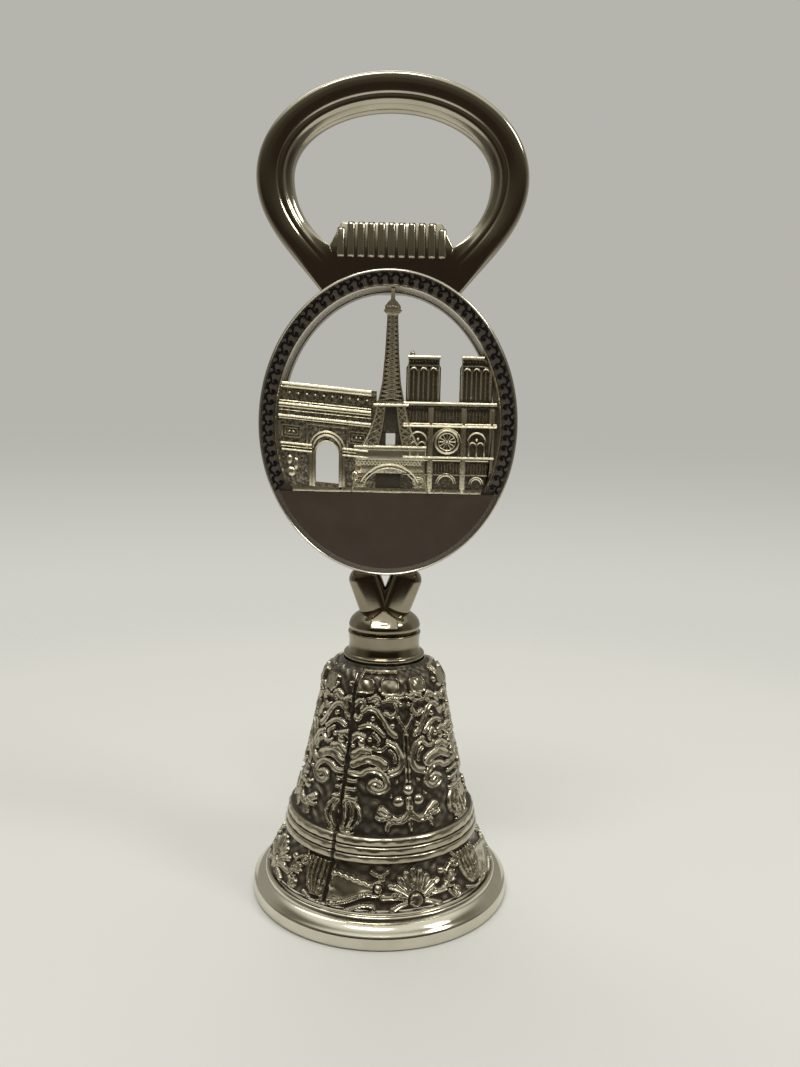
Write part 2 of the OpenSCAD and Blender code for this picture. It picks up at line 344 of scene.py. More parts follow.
class Palette:
    """Every material of the object, made once."""

    def __init__(self) -> None:
        """Builds the finishes."""
        # Low ground and crevices darken from the cavity attribute: antique toning deepened into painted shade.
        self.relief = Nickel("antiqued_relief", bright=(0.56, 0.515, 0.40), toned=(0.35, 0.30, 0.215), roughness=0.15,
                             cavity=True, dark_share=0.965, roughen_where_dark=0.14).build()
        # Painted shade: a darker copy of the polished nickel, standing in for the dark reflections on the neck, stem
        # and foot.
        self.neck = Nickel("neck_nickel_painted_shade", bright=(0.33, 0.295, 0.215), toned=(0.21, 0.175, 0.12), roughness=0.07,
                           pitting=0.08, scratches=0.06).build()
        self.polished = Nickel("polished_nickel", bright=(0.52, 0.485, 0.39), toned=(0.40, 0.36, 0.275),
                               roughness=0.07, pitting=0.05, scratches=0.04).build()
        # Painted reflection: a brighter copy of the nickel, standing in for the pale floor reflected in the lip.
        self.lip = Nickel("lip_nickel_painted_reflection", bright=(0.74, 0.71, 0.60), toned=(0.58, 0.545, 0.44), roughness=0.07,
                          pitting=0.05, scratches=0.04).build()
        # Deeper skyline layers darken by depth: antique toning deepened into painted shade.
        self.medallion = Nickel("medallion_nickel", bright=(1.0, 0.93, 0.71), toned=(0.78, 0.70, 0.51),
                                roughness=0.23, low_y=-2.26, high_y=-2.84, dark_share=0.93, pitting=0.6,
                                speckle=1.1).build()
        # Deeper parts of the rim darken by depth: antique toning deepened into painted shade.
        self.rim = Nickel("rim_nickel", bright=(0.68, 0.64, 0.56), toned=(0.50, 0.45, 0.38), roughness=0.12,
                          low_y=-2.75, high_y=-3.05, dark_share=0.45).build()
        self.inside = Nickel("bell_inside_nickel", bright=(0.42, 0.40, 0.36), toned=(0.30, 0.28, 0.24),
                             roughness=0.34, pitting=0.3).build()
        self.steel = Nickel("zinc_steel", bright=(0.60, 0.60, 0.60), toned=(0.48, 0.49, 0.50), roughness=0.24,
                            pitting=0.2, scratches=0.15).build()
        self.black = Enamel("black_enamel", (0.006, 0.005, 0.007), (0.012, 0.010, 0.013)).build()
        self.brown = Enamel("brown_enamel", (0.080, 0.058, 0.044), (0.096, 0.070, 0.054), 0.3, 0.25).build()
        self.floor = Ground().build()


# ---------------------------------------------------------------- mesh helpers
def new_object(name: str, verts: Array, faces: Sequence, material: Material,
               sharp: float | None = None) -> Piece:
    """Makes a shaded mesh object.

    Args:
        name: The object's name.
        verts: Corners in millimetres.
        faces: Corner numbers of each face.
        material: Its finish.
        sharp: Angle in degrees past which an edge stays sharp, or None for all smooth.

    Returns:
        The object, in metres.
    """
    mesh = bpy.data.meshes.new(name)
    mesh.from_pydata((np.asarray(verts, float) * MM).tolist(), [], np.asarray(faces).tolist()
                     if isinstance(faces, Array) else [list(f) for f in faces])
    mesh.materials.append(material)
    mesh.shade_smooth()
    if sharp is not None:
        mesh.set_sharp_from_angle(angle=radians(sharp))
    made = bpy.data.objects.new(name, mesh)
    bpy.context.scene.collection.objects.link(made)
    return made


def tidy_normals(piece: Piece) -> Piece:
    """Merges doubles and points the faces outwards.

    Args:
        piece: The object.

    Returns:
        The same object.
    """
    work = bmesh.new()
    work.from_mesh(piece.data)
    bmesh.ops.remove_doubles(work, verts=work.verts, dist=1e-7)
    bmesh.ops.recalc_face_normals(work, faces=work.faces)
    work.to_mesh(piece.data)
    work.free()
    return piece


def grid_faces(rows: int, cols: int, wrap_rows: bool, wrap_cols: bool) -> Array:
    """Quads of a grid whose points are numbered row by row.

    Args:
        rows: Number of rows.
        cols: Points in a row.
        wrap_rows: Joins the last row to the first.
        wrap_cols: Joins each row's ends.

    Returns:
        Corner numbers, four to a face.
    """
    r = np.arange(rows if wrap_rows else rows - 1)[:, None]
    c = np.arange(cols if wrap_cols else cols - 1)[None, :]
    r2, c2 = (r + 1) % rows, (c + 1) % cols
    quads = np.stack([r * cols + c, r2 * cols + c, r2 * cols + c2, r * cols + c2], axis=-1)
    return quads.reshape(-1, 4)


def tube_faces(rows: int, cols: int, closed: bool = False, hand: int = 1) -> list[list[int]]:
    """Faces of a loop of points swept along a path, with caps on its ends unless it is closed.

    Args:
        rows: Places along the path.
        cols: Points in the loop.
        closed: Whether the path returns to its start.
        hand: -1 turns the caps over.

    Returns:
        Corner numbers of each face.
    """
    faces = [list(f) for f in grid_faces(rows, cols, closed, True)]
    if not closed:
        ends = list(range(cols)), list(range(rows * cols - 1, (rows - 1) * cols - 1, -1))
        faces += [end[::hand] for end in ends]
    return faces


def lathe(name: str, loop: Path, material: Material, steps: int = 192,
          sharp: float = 35.0) -> Piece:
    """Turns a closed loop of (radius, height) into a ring.

    Args:
        name: The object's name.
        loop: Points as (radius, height).
        material: Its finish.
        steps: Sections round the axis.
        sharp: Angle of a sharp edge.

    Returns:
        The ring.
    """
    loop_xy = np.array(loop, float)
    angles = np.linspace(0, 2 * np.pi, steps, endpoint=False)
    radius, height = loop_xy[:, 0][None, :], loop_xy[:, 1][None, :]
    points = np.stack([radius * np.cos(angles)[:, None], radius * np.sin(angles)[:, None],
                       np.repeat(height, steps, 0)], -1)
    made = new_object(name, points.reshape(-1, 3), grid_faces(steps, len(loop_xy), True, True), material, sharp)
    return tidy_normals(made)


def turned_solid(name: str, profile: Path, material: Material, steps: int = 160,
                 sharp: float = 35.0) -> Piece:
    """Turns an open profile that starts and ends on the axis into a solid.

    Args:
        name: The object's name.
        profile: Points as (radius, height).
        material: Its finish.
        steps: Sections round the axis.
        sharp: Angle of a sharp edge.

    Returns:
        The solid.
    """
    inner = np.array(profile[1:-1], float)
    angles = np.linspace(0, 2 * np.pi, steps, endpoint=False)
    rows = np.stack([inner[:, 0][None, :] * np.cos(angles)[:, None], inner[:, 0][None, :] * np.sin(angles)[:, None],
                     np.repeat(inner[:, 1][None, :], steps, 0)], -1).reshape(-1, 3)
    count = len(inner)
    verts = np.vstack([rows, [[0, 0, profile[0][1]], [0, 0, profile[-1][1]]]])
    faces = [list(q) for q in grid_faces(steps, count, True, False)]
    for k in range(steps):
        k2 = (k + 1) % steps
        faces.append([steps * count, k2 * count, k * count])
        faces.append([steps * count + 1, k * count + count - 1, k2 * count + count - 1])
    return tidy_normals(new_object(name, verts, faces, material, sharp))


def prism(outline: Path, front: float, back: float) -> Solid:
    """Corners and faces of an outline in X and Z between two depths.

    Args:
        outline: Points as (X, Z).
        front: Depth of the front face.
        back: Depth of the back face.

    Returns:
        Corners and faces.
    """
    count = len(outline)
    verts = np.array([[x, front, z] for x, z in outline] + [[x, back, z] for x, z in outline], float)
    faces = [list(range(count)), list(range(2 * count - 1, count - 1, -1))]
    faces += [[i, i + count, (i + 1) % count + count, (i + 1) % count] for i in range(count)]
    return verts, faces


def ribbon(path: Array, width: float | Array, front: float, back: float) -> Solid:
    """Corners and faces of a flat bar along an open path in X and Z.

    Args:
        path: Points along its middle.
        width: Width, or one for each point.
        front: Depth of the front face.
        back: Depth of the back face.

    Returns:
        Corners and faces.
    """
    path = np.asarray(path, float)
    run = np.gradient(path, axis=0)
    run /= np.linalg.norm(run, axis=1)[:, None] + TINY
    side = np.stack([-run[:, 1], run[:, 0]], 1) * (np.broadcast_to(width, len(path)) / 2)[:, None]
    left, right = path + side, path - side
    outline = np.vstack([left, right[::-1]])
    count = len(path)
    verts = np.array([[x, front, z] for x, z in outline] + [[x, back, z] for x, z in outline], float)
    total = 2 * count
    faces = []
    for base, flip in ((0, False), (total, True)):
        for i in range(count - 1):
            quad = [base + i, base + i + 1, base + total - 2 - i, base + total - 1 - i]
            faces.append(quad[::-1] if flip else quad)
    faces += [[i, i + total, (i + 1) % total + total, (i + 1) % total] for i in range(total)]
    return verts, faces


def ridge(path: Array, width: float, crest: float, foot: float, fall: float = SHOULDER_FALL) -> Solid:
    """Corners and faces of a roof-shaped bar along an open path in X and Z.

    Args:
        path: Points along the bar's middle.
        width: Its width.
        crest: Depth of its crest.
        foot: Depth that its sides run down to.
        fall: How far its shoulders lie behind the crest, as a share of its width.

    Returns:
        Corner array and face list.
    """
    path = np.asarray(path, float)
    run = np.gradient(path, axis=0)
    run /= np.linalg.norm(run, axis=1)[:, None] + TINY
    side = np.stack([-run[:, 1], run[:, 0]], 1) * width
    shoulder = crest + width * fall
    rows = [(0.5, foot), (0.44, shoulder), (0.0, crest), (-0.44, shoulder), (-0.5, foot)]
    verts = np.stack([np.stack([path[:, 0] + side[:, 0] * k, np.full(len(path), y), path[:, 1] + side[:, 1] * k], 1)
                      for k, y in rows], 1)
    return verts.reshape(-1, 3), tube_faces(len(path), len(rows))


def bezier(points: Path, count: int = 16) -> Array:
    """Points along a Bezier curve of any degree.

    Args:
        points: Control points.
        count: Points on the curve.

    Returns:
        The curve's points.
    """
    t = np.linspace(0, 1, count)[:, None]
    degree = len(points) - 1
    made = np.zeros((count, 2))
    for k, point in enumerate(points):
        made += comb(degree, k) * (1 - t) ** (degree - k) * t ** k * np.array(point, float)
    return made


def flowing(points: Path, rounds: int = 3) -> Array:
    """Rounds the corners of a path and keeps its ends.

    Args:
        points: The path's corners.
        rounds: How often they are cut.

    Returns:
        The rounded path.
    """
    path = np.asarray(points, float)
    for _ in range(rounds):
        near, far = path[:-1] * 0.75 + path[1:] * 0.25, path[:-1] * 0.25 + path[1:] * 0.75
        path = np.vstack([path[:1], np.stack([near, far], 1).reshape(-1, 2), path[-1:]])
    return path


def turn_from(angles: Array, start: float) -> Array:
    """Angles counted from another one in degrees, each between minus and plus half a turn."""
    return (angles - radians(start) + np.pi) % (2 * np.pi) - np.pi


class Yard:
    """Collects solids and joins them into one piece."""

    def __init__(self) -> None:
        """Starts empty."""
        self.verts: list[Array] = []
        self.faces: list[list[int]] = []
        self.count = 0

    def put(self, solid: Solid) -> "Yard":
        """Adds a solid's corners and faces.

        Args:
            solid: Corners and faces.

        Returns:
            The yard itself.
        """
        verts, faces = solid
        self.verts.append(np.asarray(verts, float))
        self.faces += [[i + self.count for i in f] for f in faces]
        self.count += len(verts)
        return self

    def piece(self, name: str, material: Material, bevel: float = 0.0, segments: int = 2,
              sharp: float = 38.0) -> Piece:
        """Joins everything into an object, with bevelled edges where asked.

        Args:
            name: The object's name.
            material: Its finish.
            bevel: Width of the bevels in millimetres, 0 for none.
            segments: Steps in a bevel.
            sharp: Angle of a sharp edge.

        Returns:
            The object.
        """
        made = new_object(name, np.vstack(self.verts), self.faces, material)
        work = bmesh.new()
        work.from_mesh(made.data)
        bmesh.ops.recalc_face_normals(work, faces=work.faces)
        if bevel:
            edges = [e for e in work.edges if e.calc_face_angle(0) > radians(28)]
            bmesh.ops.bevel(work, geom=edges, offset=bevel * MM, segments=segments, profile=0.5, affect="EDGES",
                            clamp_overlap=True)
        work.to_mesh(made.data)
        work.free()
        made.data.shade_smooth()
        made.data.set_sharp_from_angle(angle=radians(sharp))
        return made


def joined(name: str, parts: Sequence[Piece]) -> Piece:
    """Joins objects into the first and names it.

    Args:
        name: Name of the result.
        parts: Objects, the first of which is kept.

    Returns:
        The joined object.
    """
    with bpy.context.temp_override(active_object=parts[0], selected_editable_objects=list(parts)):
        bpy.ops.object.join()
    parts[0].name = name
    parts[0].data.name = name
    return parts[0]


# ---------------------------------------------------------------- geometry nodes
class GeometryTree:
    """Builds one Geometry Nodes tree with named inputs."""

    def __init__(self, name: str) -> None:
        """Starts the tree with its geometry sockets.

        Args:
            name: The tree's name.
        """
        self.tree = bpy.data.node_groups.new(name, "GeometryNodeTree")
        self.tree.interface.new_socket("Geometry", in_out="INPUT", socket_type="NodeSocketGeometry")
        self.tree.interface.new_socket("Geometry", in_out="OUTPUT", socket_type="NodeSocketGeometry")
        self.source = self.tree.nodes.new("NodeGroupInput")
        self.end = self.tree.nodes.new("NodeGroupOutput")
        self.identifiers: dict[str, str] = {}

    def input(self, name: str, kind: str) -> Socket:
        """Adds a named input of a kind such as Float, Int, Vector or Material.

        Args:
            name: The input's name.
            kind: Its socket type.

        Returns:
            The socket to link from.
        """
        item = self.tree.interface.new_socket(name, in_out="INPUT", socket_type=f"NodeSocket{kind}")
        self.identifiers[name] = item.identifier
        return self.source.outputs[name]

    def add(self, kind: str, settings: dict | None = None, inputs: dict | None = None) -> bpy.types.Node:
        """Adds a node, with its settings first and then its inputs.

        Args:
            kind: The node's type.
            settings: Properties.
            inputs: Values or sockets by the input's name or number.

        Returns:
            The node.
        """
        node = self.tree.nodes.new(kind)
        for key, value in (settings or {}).items():
            setattr(node, key, value)
        for key, value in (inputs or {}).items():
            if isinstance(value, Socket):
                self.tree.links.new(value, node.inputs[key])
            else:
                node.inputs[key].default_value = value
        return node

    def math(self, operation: str, first: object, second: object = 0.0) -> Socket:
        """One Math node's result."""
        return self.add("ShaderNodeMath", {"operation": operation}, {0: first, 1: second}).outputs[0]

    def vector(self, axes: dict) -> Socket:
        """A vector from its named components."""
        return self.add("ShaderNodeCombineXYZ", {}, axes).outputs[0]

    def parts(self, kind: str) -> bpy.types.NodeOutputs:
        """The components of a field such as Position or Tangent."""
        return self.add("ShaderNodeSeparateXYZ", {}, {0: self.add(f"GeometryNodeInput{kind}").outputs[0]}).outputs

    def copies(self, inputs: dict) -> Socket:
        """The unit repeated on points."""
        instance = {"Instance": self.source.outputs["Geometry"]}
        return self.add("GeometryNodeInstanceOnPoints", {}, {**inputs, **instance}).outputs[0]

    def finish(self, instances: Socket) -> None:
        """Ends the tree in Realize Instances and Set Material.

        Args:
            instances: What is realized.
        """
        material = self.input("Material", "Material")
        real = self.add("GeometryNodeRealizeInstances", {}, {0: instances})
        done = self.add("GeometryNodeSetMaterial", {}, {0: real.outputs[0], "Material": material})
        self.tree.links.new(done.outputs[0], self.end.inputs[0])

    def run(self, unit: Piece, values: dict) -> Piece:
        """Runs the tree on a unit object and turns the result into a plain mesh.

        Args:
            unit: The object whose mesh is repeated.
            values: Each named input's value.

        Returns:
            The same object with the made mesh.
        """
        modifier = unit.modifiers.new(self.tree.name, "NODES")
        modifier.node_group = self.tree
        for name, value in values.items():
            modifier[self.identifiers[name]] = value
        graph = bpy.context.evaluated_depsgraph_get()
        mesh = bpy.data.meshes.new_from_object(unit.evaluated_get(graph))
        unit.modifiers.remove(modifier)
        unit.data = mesh
        return unit


def row_tree() -> GeometryTree:
    """A tree that repeats the unit along a straight line.

    Returns:
        The tree.
    """
    g = GeometryTree("straight_row")
    line = g.add("GeometryNodeMeshLine", {"mode": "OFFSET"},
                 {"Count": g.input("Count", "Int"), "Start Location": g.input("Start", "Vector"),
                  "Offset": g.input("Step", "Vector")})
    g.finish(g.copies({"Points": line.outputs[0]}))
    return g


def rib_tree() -> GeometryTree:
    """A tree that stands ribs side by side under a lip with slanted ends.

    Returns:
        The tree.
    """
    g = GeometryTree("tongue_ribs")
    count, pitch = g.input("Count", "Int"), g.input("Pitch", "Float")
    full, fall, flat = g.input("Full Height", "Float"), g.input("Fall", "Float"), g.input("Flat Half Width", "Float")
    start = g.math("MULTIPLY", g.math("MULTIPLY", g.math("SUBTRACT", count, 1.0), pitch), -0.5)
    line = g.add("GeometryNodeMeshLine", {"mode": "OFFSET"}, {"Count": count})
    g.tree.links.new(g.vector({"X": start}), line.inputs["Start Location"])
    g.tree.links.new(g.vector({"X": pitch}), line.inputs["Offset"])
    place = g.parts("Position")[0]
    past = g.math("MAXIMUM", g.math("SUBTRACT", g.math("ABSOLUTE", place), flat), 0.0)
    height = g.math("SUBTRACT", full, g.math("MULTIPLY", past, fall))
    placed = g.copies({"Points": line.outputs[0], "Scale": g.vector({"X": 1.0, "Y": 1.0, "Z": height})})
    moved = g.add("GeometryNodeTransform", {}, {0: placed, "Translation": g.input("Foot", "Vector")})
    g.finish(moved.outputs[0])
    return g


def oval_tree() -> GeometryTree:
    """A tree that runs the unit round the upper part of an upright oval, turned to follow it.

    Returns:
        The tree.
    """
    g = GeometryTree("oval_scrolls")
    half_w, half_h = g.input("Half Width", "Float"), g.input("Half Height", "Float")
    circle = g.add("GeometryNodeCurvePrimitiveCircle", {}, {"Resolution": 256, "Radius": 1.0})
    spot = g.parts("Position")
    upright = g.vector({"X": g.math("MULTIPLY", spot[0], half_w), "Z": g.math("MULTIPLY", spot[1], half_h)})
    oval = g.add("GeometryNodeSetPosition", {}, {0: circle.outputs[0], "Position": upright})
    even = g.add("GeometryNodeResampleCurve", {}, {"Curve": oval.outputs[0], "Count": g.input("Count", "Int")})
    run = g.parts("Tangent")
    turn = g.math("MULTIPLY", g.math("ARCTAN2", run[2], run[0]), -1.0)
    facing = g.add("FunctionNodeEulerToRotation", {}, {0: g.vector({"Y": turn})})
    above = g.math("GREATER_THAN", g.parts("Position")[2], g.input("Lowest", "Float"))
    placed = g.copies({"Points": even.outputs[0], "Selection": above, "Rotation": facing.outputs[0]})
    moved = g.add("GeometryNodeTransform", {}, {0: placed, "Translation": g.input("Centre", "Vector")})
    g.finish(moved.outputs[0])
    return g


# ---------------------------------------------------------------- cast relief
class Relief:
    """Height of a cast pattern over a band of the bell, in millimetres, on a grid of angle and height.

    A place on it is given as (degrees from the front, height on the bell).
    """

    def __init__(self, angles: Array, radii: Array, heights: Array) -> None:
        """Starts with a flat ground.

        Args:
            angles: Angles from the front, in radians, positive to the right.
            radii: The nominal radius of each row.
            heights: Each row's height on the bell.
        """
        self.angles, self.heights = angles, heights
        self.unit = float(radii[: len(radii) * 2 // 3].mean())
        self.arc = np.concatenate([[0], np.cumsum(np.hypot(np.diff(radii), np.diff(heights)))])
        self.level = np.zeros((len(angles), len(radii)))

    def window(self, at: Point, low: Sequence[float], high: Sequence[float]) -> tuple | None:
        """Grid part and local coordinates of a box round a place, or None if it is empty.

        Args:
            at: Its place.
            low: Left and lower limit of the box.
            high: Right and upper limit.

        Returns:
            Grid index, distance across and distance up, or None.
        """
        turn = turn_from(self.angles, at[0])
        across, up = turn * self.unit, self.arc - float(np.interp(at[1], self.heights, self.arc))
        rows = np.where((across > low[0]) & (across < high[0]))[0]
        cols = np.where((up > low[1]) & (up < high[1]))[0]
        if not len(rows) or not len(cols):
            return None
        return np.ix_(rows, cols), across[rows][:, None], up[cols][None, :]

    def lay(self, index: tuple, bump: Array) -> None:
        """Keeps whichever stands higher."""
        self.level[index] = np.maximum(self.level[index], bump)

    def hammer(self, amount: float, seed: int) -> None:
        """Adds a soft random unevenness, as cast and polished by hand, that closes on itself round the bell.

        Args:
            amount: Size of the unevenness.
            seed: Start of the random draws.
        """
        chance = np.random.default_rng(seed)
        waves = 22
        for _ in range(waves):
            around, along = int(chance.integers(-52, 53)), chance.uniform(0.5, 3.6)
            phase = chance.uniform(0, 2 * np.pi)
            wave = np.cos(self.angles[:, None] * around + self.arc[None, :] * along + phase)
            self.level += amount / sqrt(waves) * wave

    def stroke(self, at: Point, path: Sequence, width: Point, height: float = 0.55, channel: float = 0.0,
               hand: int = 1) -> None:
        """Raises a tapering flat-topped bar with a slightly raised border.

        Args:
            at: Its place.
            path: Points in millimetres round that place.
            width: Half width at the start and at the end.
            height: How far it stands out.
            channel: Share of the height taken out along its middle.
            hand: -1 mirrors the path.
        """
        path = np.asarray(path, float) * np.array([hand, 1.0])
        pad = max(width) + 0.15
        window = self.window(at, path.min(0) - pad, path.max(0) + pad)
        if window is None:
            return
        index, across, up = window
        widths = np.linspace(width[0], width[1], len(path))
        best = np.full(np.broadcast(across, up).shape, FAR_OFF)
        for (ax, ay), (bx, by), wa, wb in zip(path[:-1], path[1:], widths[:-1], widths[1:]):
            dx, dy = bx - ax, by - ay
            share = np.clip(((across - ax) * dx + (up - ay) * dy) / (dx * dx + dy * dy + TINY), 0, 1)
            wide = wa + (wb - wa) * share
            best = np.minimum(best, np.hypot(across - ax - share * dx, up - ay - share * dy) / wide)
        body = np.clip((1 - best) / 0.36, 0, 1)
        body = body * body * (3 - 2 * body)
        dish = 0.82 + 0.18 * np.exp(-((best - 0.60) / 0.20) ** 2)
        self.lay(index, height * body * dish * (1 - 0.6 * channel * np.exp(-(best / 0.34) ** 2)))

    def fill(self, at: Point, outline: Sequence, height: float = 0.5, soft: float = 0.5) -> None:
        """Raises a smooth closed shape with rounded edges.

        Args:
            at: Its place.
            outline: Points round that place.
            height: Its height.
            soft: Width of its rounded edge.
        """
        path = np.asarray(outline, float)
        window = self.window(at, path.min(0) - 0.1, path.max(0) + 0.1)
        if window is None:
            return
        index, across, up = window
        across, up = np.broadcast_arrays(across, up)
        inside, gap = np.zeros(across.shape, bool), np.full(across.shape, FAR_OFF)
        for (ax, ay), (bx, by) in zip(path, np.roll(path, -1, 0)):
            crosses = ((ay > up) != (by > up)) & (across < (bx - ax) * (up - ay) / (by - ay + 1e-12) + ax)
            inside ^= crosses
            dx, dy = bx - ax, by - ay
            share = np.clip(((across - ax) * dx + (up - ay) * dy) / (dx * dx + dy * dy + TINY), 0, 1)
            gap = np.minimum(gap, np.hypot(across - ax - share * dx, up - ay - share * dy))
        rise = np.clip(gap / soft, 0, 1)
        body = rise * (2 - rise) * (0.80 + 0.20 * np.exp(-((gap - soft * 0.8) / 0.25) ** 2))
        self.lay(index, np.where(inside, height * body, 0.0))

    def boss(self, at: Point, radius: Point, height: float = 0.6, ring: float = 0.0, off: Point = (0.0, 0.0)) -> None:
        """Raises an oval boss, with a moat round it where ring is set.

        Args:
            at: Its place.
            radius: Half width and half height.
            height: Its height.
            ring: Width of the moat as a share of the radius.
            off: Its centre's distance from the place.
        """
        radius, off = np.array(radius), np.array(off)
        window = self.window(at, off - radius * 1.5, off + radius * 1.5)
        if window is None:
            return
        index, across, up = window
        far = np.hypot((across - off[0]) / radius[0], (up - off[1]) / radius[1])
        if ring:
            self.level[index] = np.where((far < 1.0 + ring) & (far > 0.98), self.level[index] * 0.2,
                                         self.level[index])
        self.lay(index, height * np.sqrt(np.clip(1 - far ** 2, 0, 1)))

    def scroll(self, at: Point, size: float, turn: float = 0.0, flip: int = 1, height: float = 0.5,
               tail: float = 1.6, fat: float = 0.55) -> None:
        """Raises a volute with a long curving tail.

        Args:
            at: Centre of the volute's eye.
            size: Radius of the volute.
            turn: Angle that the tail leaves at, in degrees.
            flip: 1 or -1, which way it curls.
            height: How far it stands out.
            tail: Length of the tail in volute radii.
            fat: Half width of the bar where it is widest.
        """
        t = np.linspace(0, 1, 26)
        angle = radians(turn) + flip * t * 2.9 * np.pi / 1.45
        radius = size * (1 - 0.74 * t)
        curl = np.stack([radius * np.cos(angle), radius * np.sin(angle)], 1)
        lead = radians(turn)
        back = np.array([sin(lead), -cos(lead)]) * flip
        out = np.array([cos(lead), sin(lead)])
        s = np.linspace(1, 0, 10)[:, None] * tail * size
        lead_in = curl[0] + back * s * 0.95 + out * 0.18 * s ** 2 / max(size, 0.1) * 0.5
        self.stroke(at, np.vstack([lead_in[:-1], curl]), (fat * 0.7, fat * 0.9), height, 0.3)
        self.boss(at, (size * 0.34, size * 0.34), height * 1.1)

    def leaf(self, at: Point, length: float, turn: float, lobes: int = 4, spread: float = 0.5,
             height: float = 0.45, bend: float = 0.25) -> None:
        """Raises an acanthus leaf: lobes fanned off a curved mid rib.

        Args:
            at: Its place.
            length: Length of its rib.
            turn: Direction in degrees.
            lobes: Lobes on each side.
            spread: Reach of a lobe as a share of the length.
            height: Its height.
            bend: How much the rib curves.
        """
        lead = radians(turn)
        way, side = np.array([cos(lead), sin(lead)]), np.array([-sin(lead), cos(lead)])
        s = np.linspace(0, 1, 12)[:, None]
        rib = way * s * length + side * bend * length * s ** 2
        for k in range(lobes):
            share = (k + 0.6) / (lobes + 0.4)
            root = rib[int(share * 11)]
            reach = length * spread * (1.15 - 0.75 * share)
            for hand in (-1, 1):
                tip = root + way * reach * 0.75 + side * hand * reach * 0.8
                knee = root + side * hand * reach * 0.55 + way * reach * 0.1
                self.stroke(at, bezier([root, knee, tip], 7), (length * 0.13, length * 0.06), height * 0.85, 0.25)
        self.stroke(at, rib, (length * 0.15, length * 0.05), height, 0.0)

    def fan(self, at: Point, radius: float, ribs: int = 9, sweep: float = 170.0, turn: float = 90.0,
            height: float = 0.5, inner: float = 0.22) -> None:
        """Raises a scallop shell of tapering flutes.

        Args:
            at: Its place.
            radius: Length of the middle flute.
            ribs: How many flutes.
            sweep: Angle they cover.
            turn: Direction of the middle one.
            height: Its height.
            inner: Where they start, as a share of the length.
        """
        for k in range(ribs):
            a = radians(turn + sweep * (k / (ribs - 1) - 0.5))
            long = radius * (1.0 - 0.16 * abs(2 * k / (ribs - 1) - 1))
            path = np.array([[cos(a), sin(a)]]) * np.linspace(inner, 0.9, 6)[:, None] * long
            wide = long * radians(sweep) / (ribs - 1) * 0.52
            self.stroke(at, path, (wide * 0.30, wide), height, 0.5 if k % 2 else 0.15)

    def urn(self, at: Point) -> None:
        """Raises a lobed urn on its foot, under a collar and a neck.

        Args:
            at: Its place.
        """
        for k in range(6):
            x = 3.3 * (2 * (k + 0.5) / 6 - 1)
            lobe = flowing([(x * 0.62, 5.4), (x * 1.02, 4.2), (x * 1.12, 3.0), (x * 0.85, 1.6), (x * 0.45, 0.7)])
            self.stroke(at, lobe, (0.42, 0.30), 0.66 - 0.16 * (x / 3.3) ** 2)
        for lift, half, thick in ((0.35, 1.9, 0.36), (5.9, 1.9, 0.52), (7.5, 1.6, 0.45), (8.9, 1.75, 0.42)):
            self.stroke(at, [(-half, lift), (half, lift)], (thick, thick), 0.60)
        self.boss(at, (1.3, 0.8), 0.42, 0.0, (0.0, 6.7))

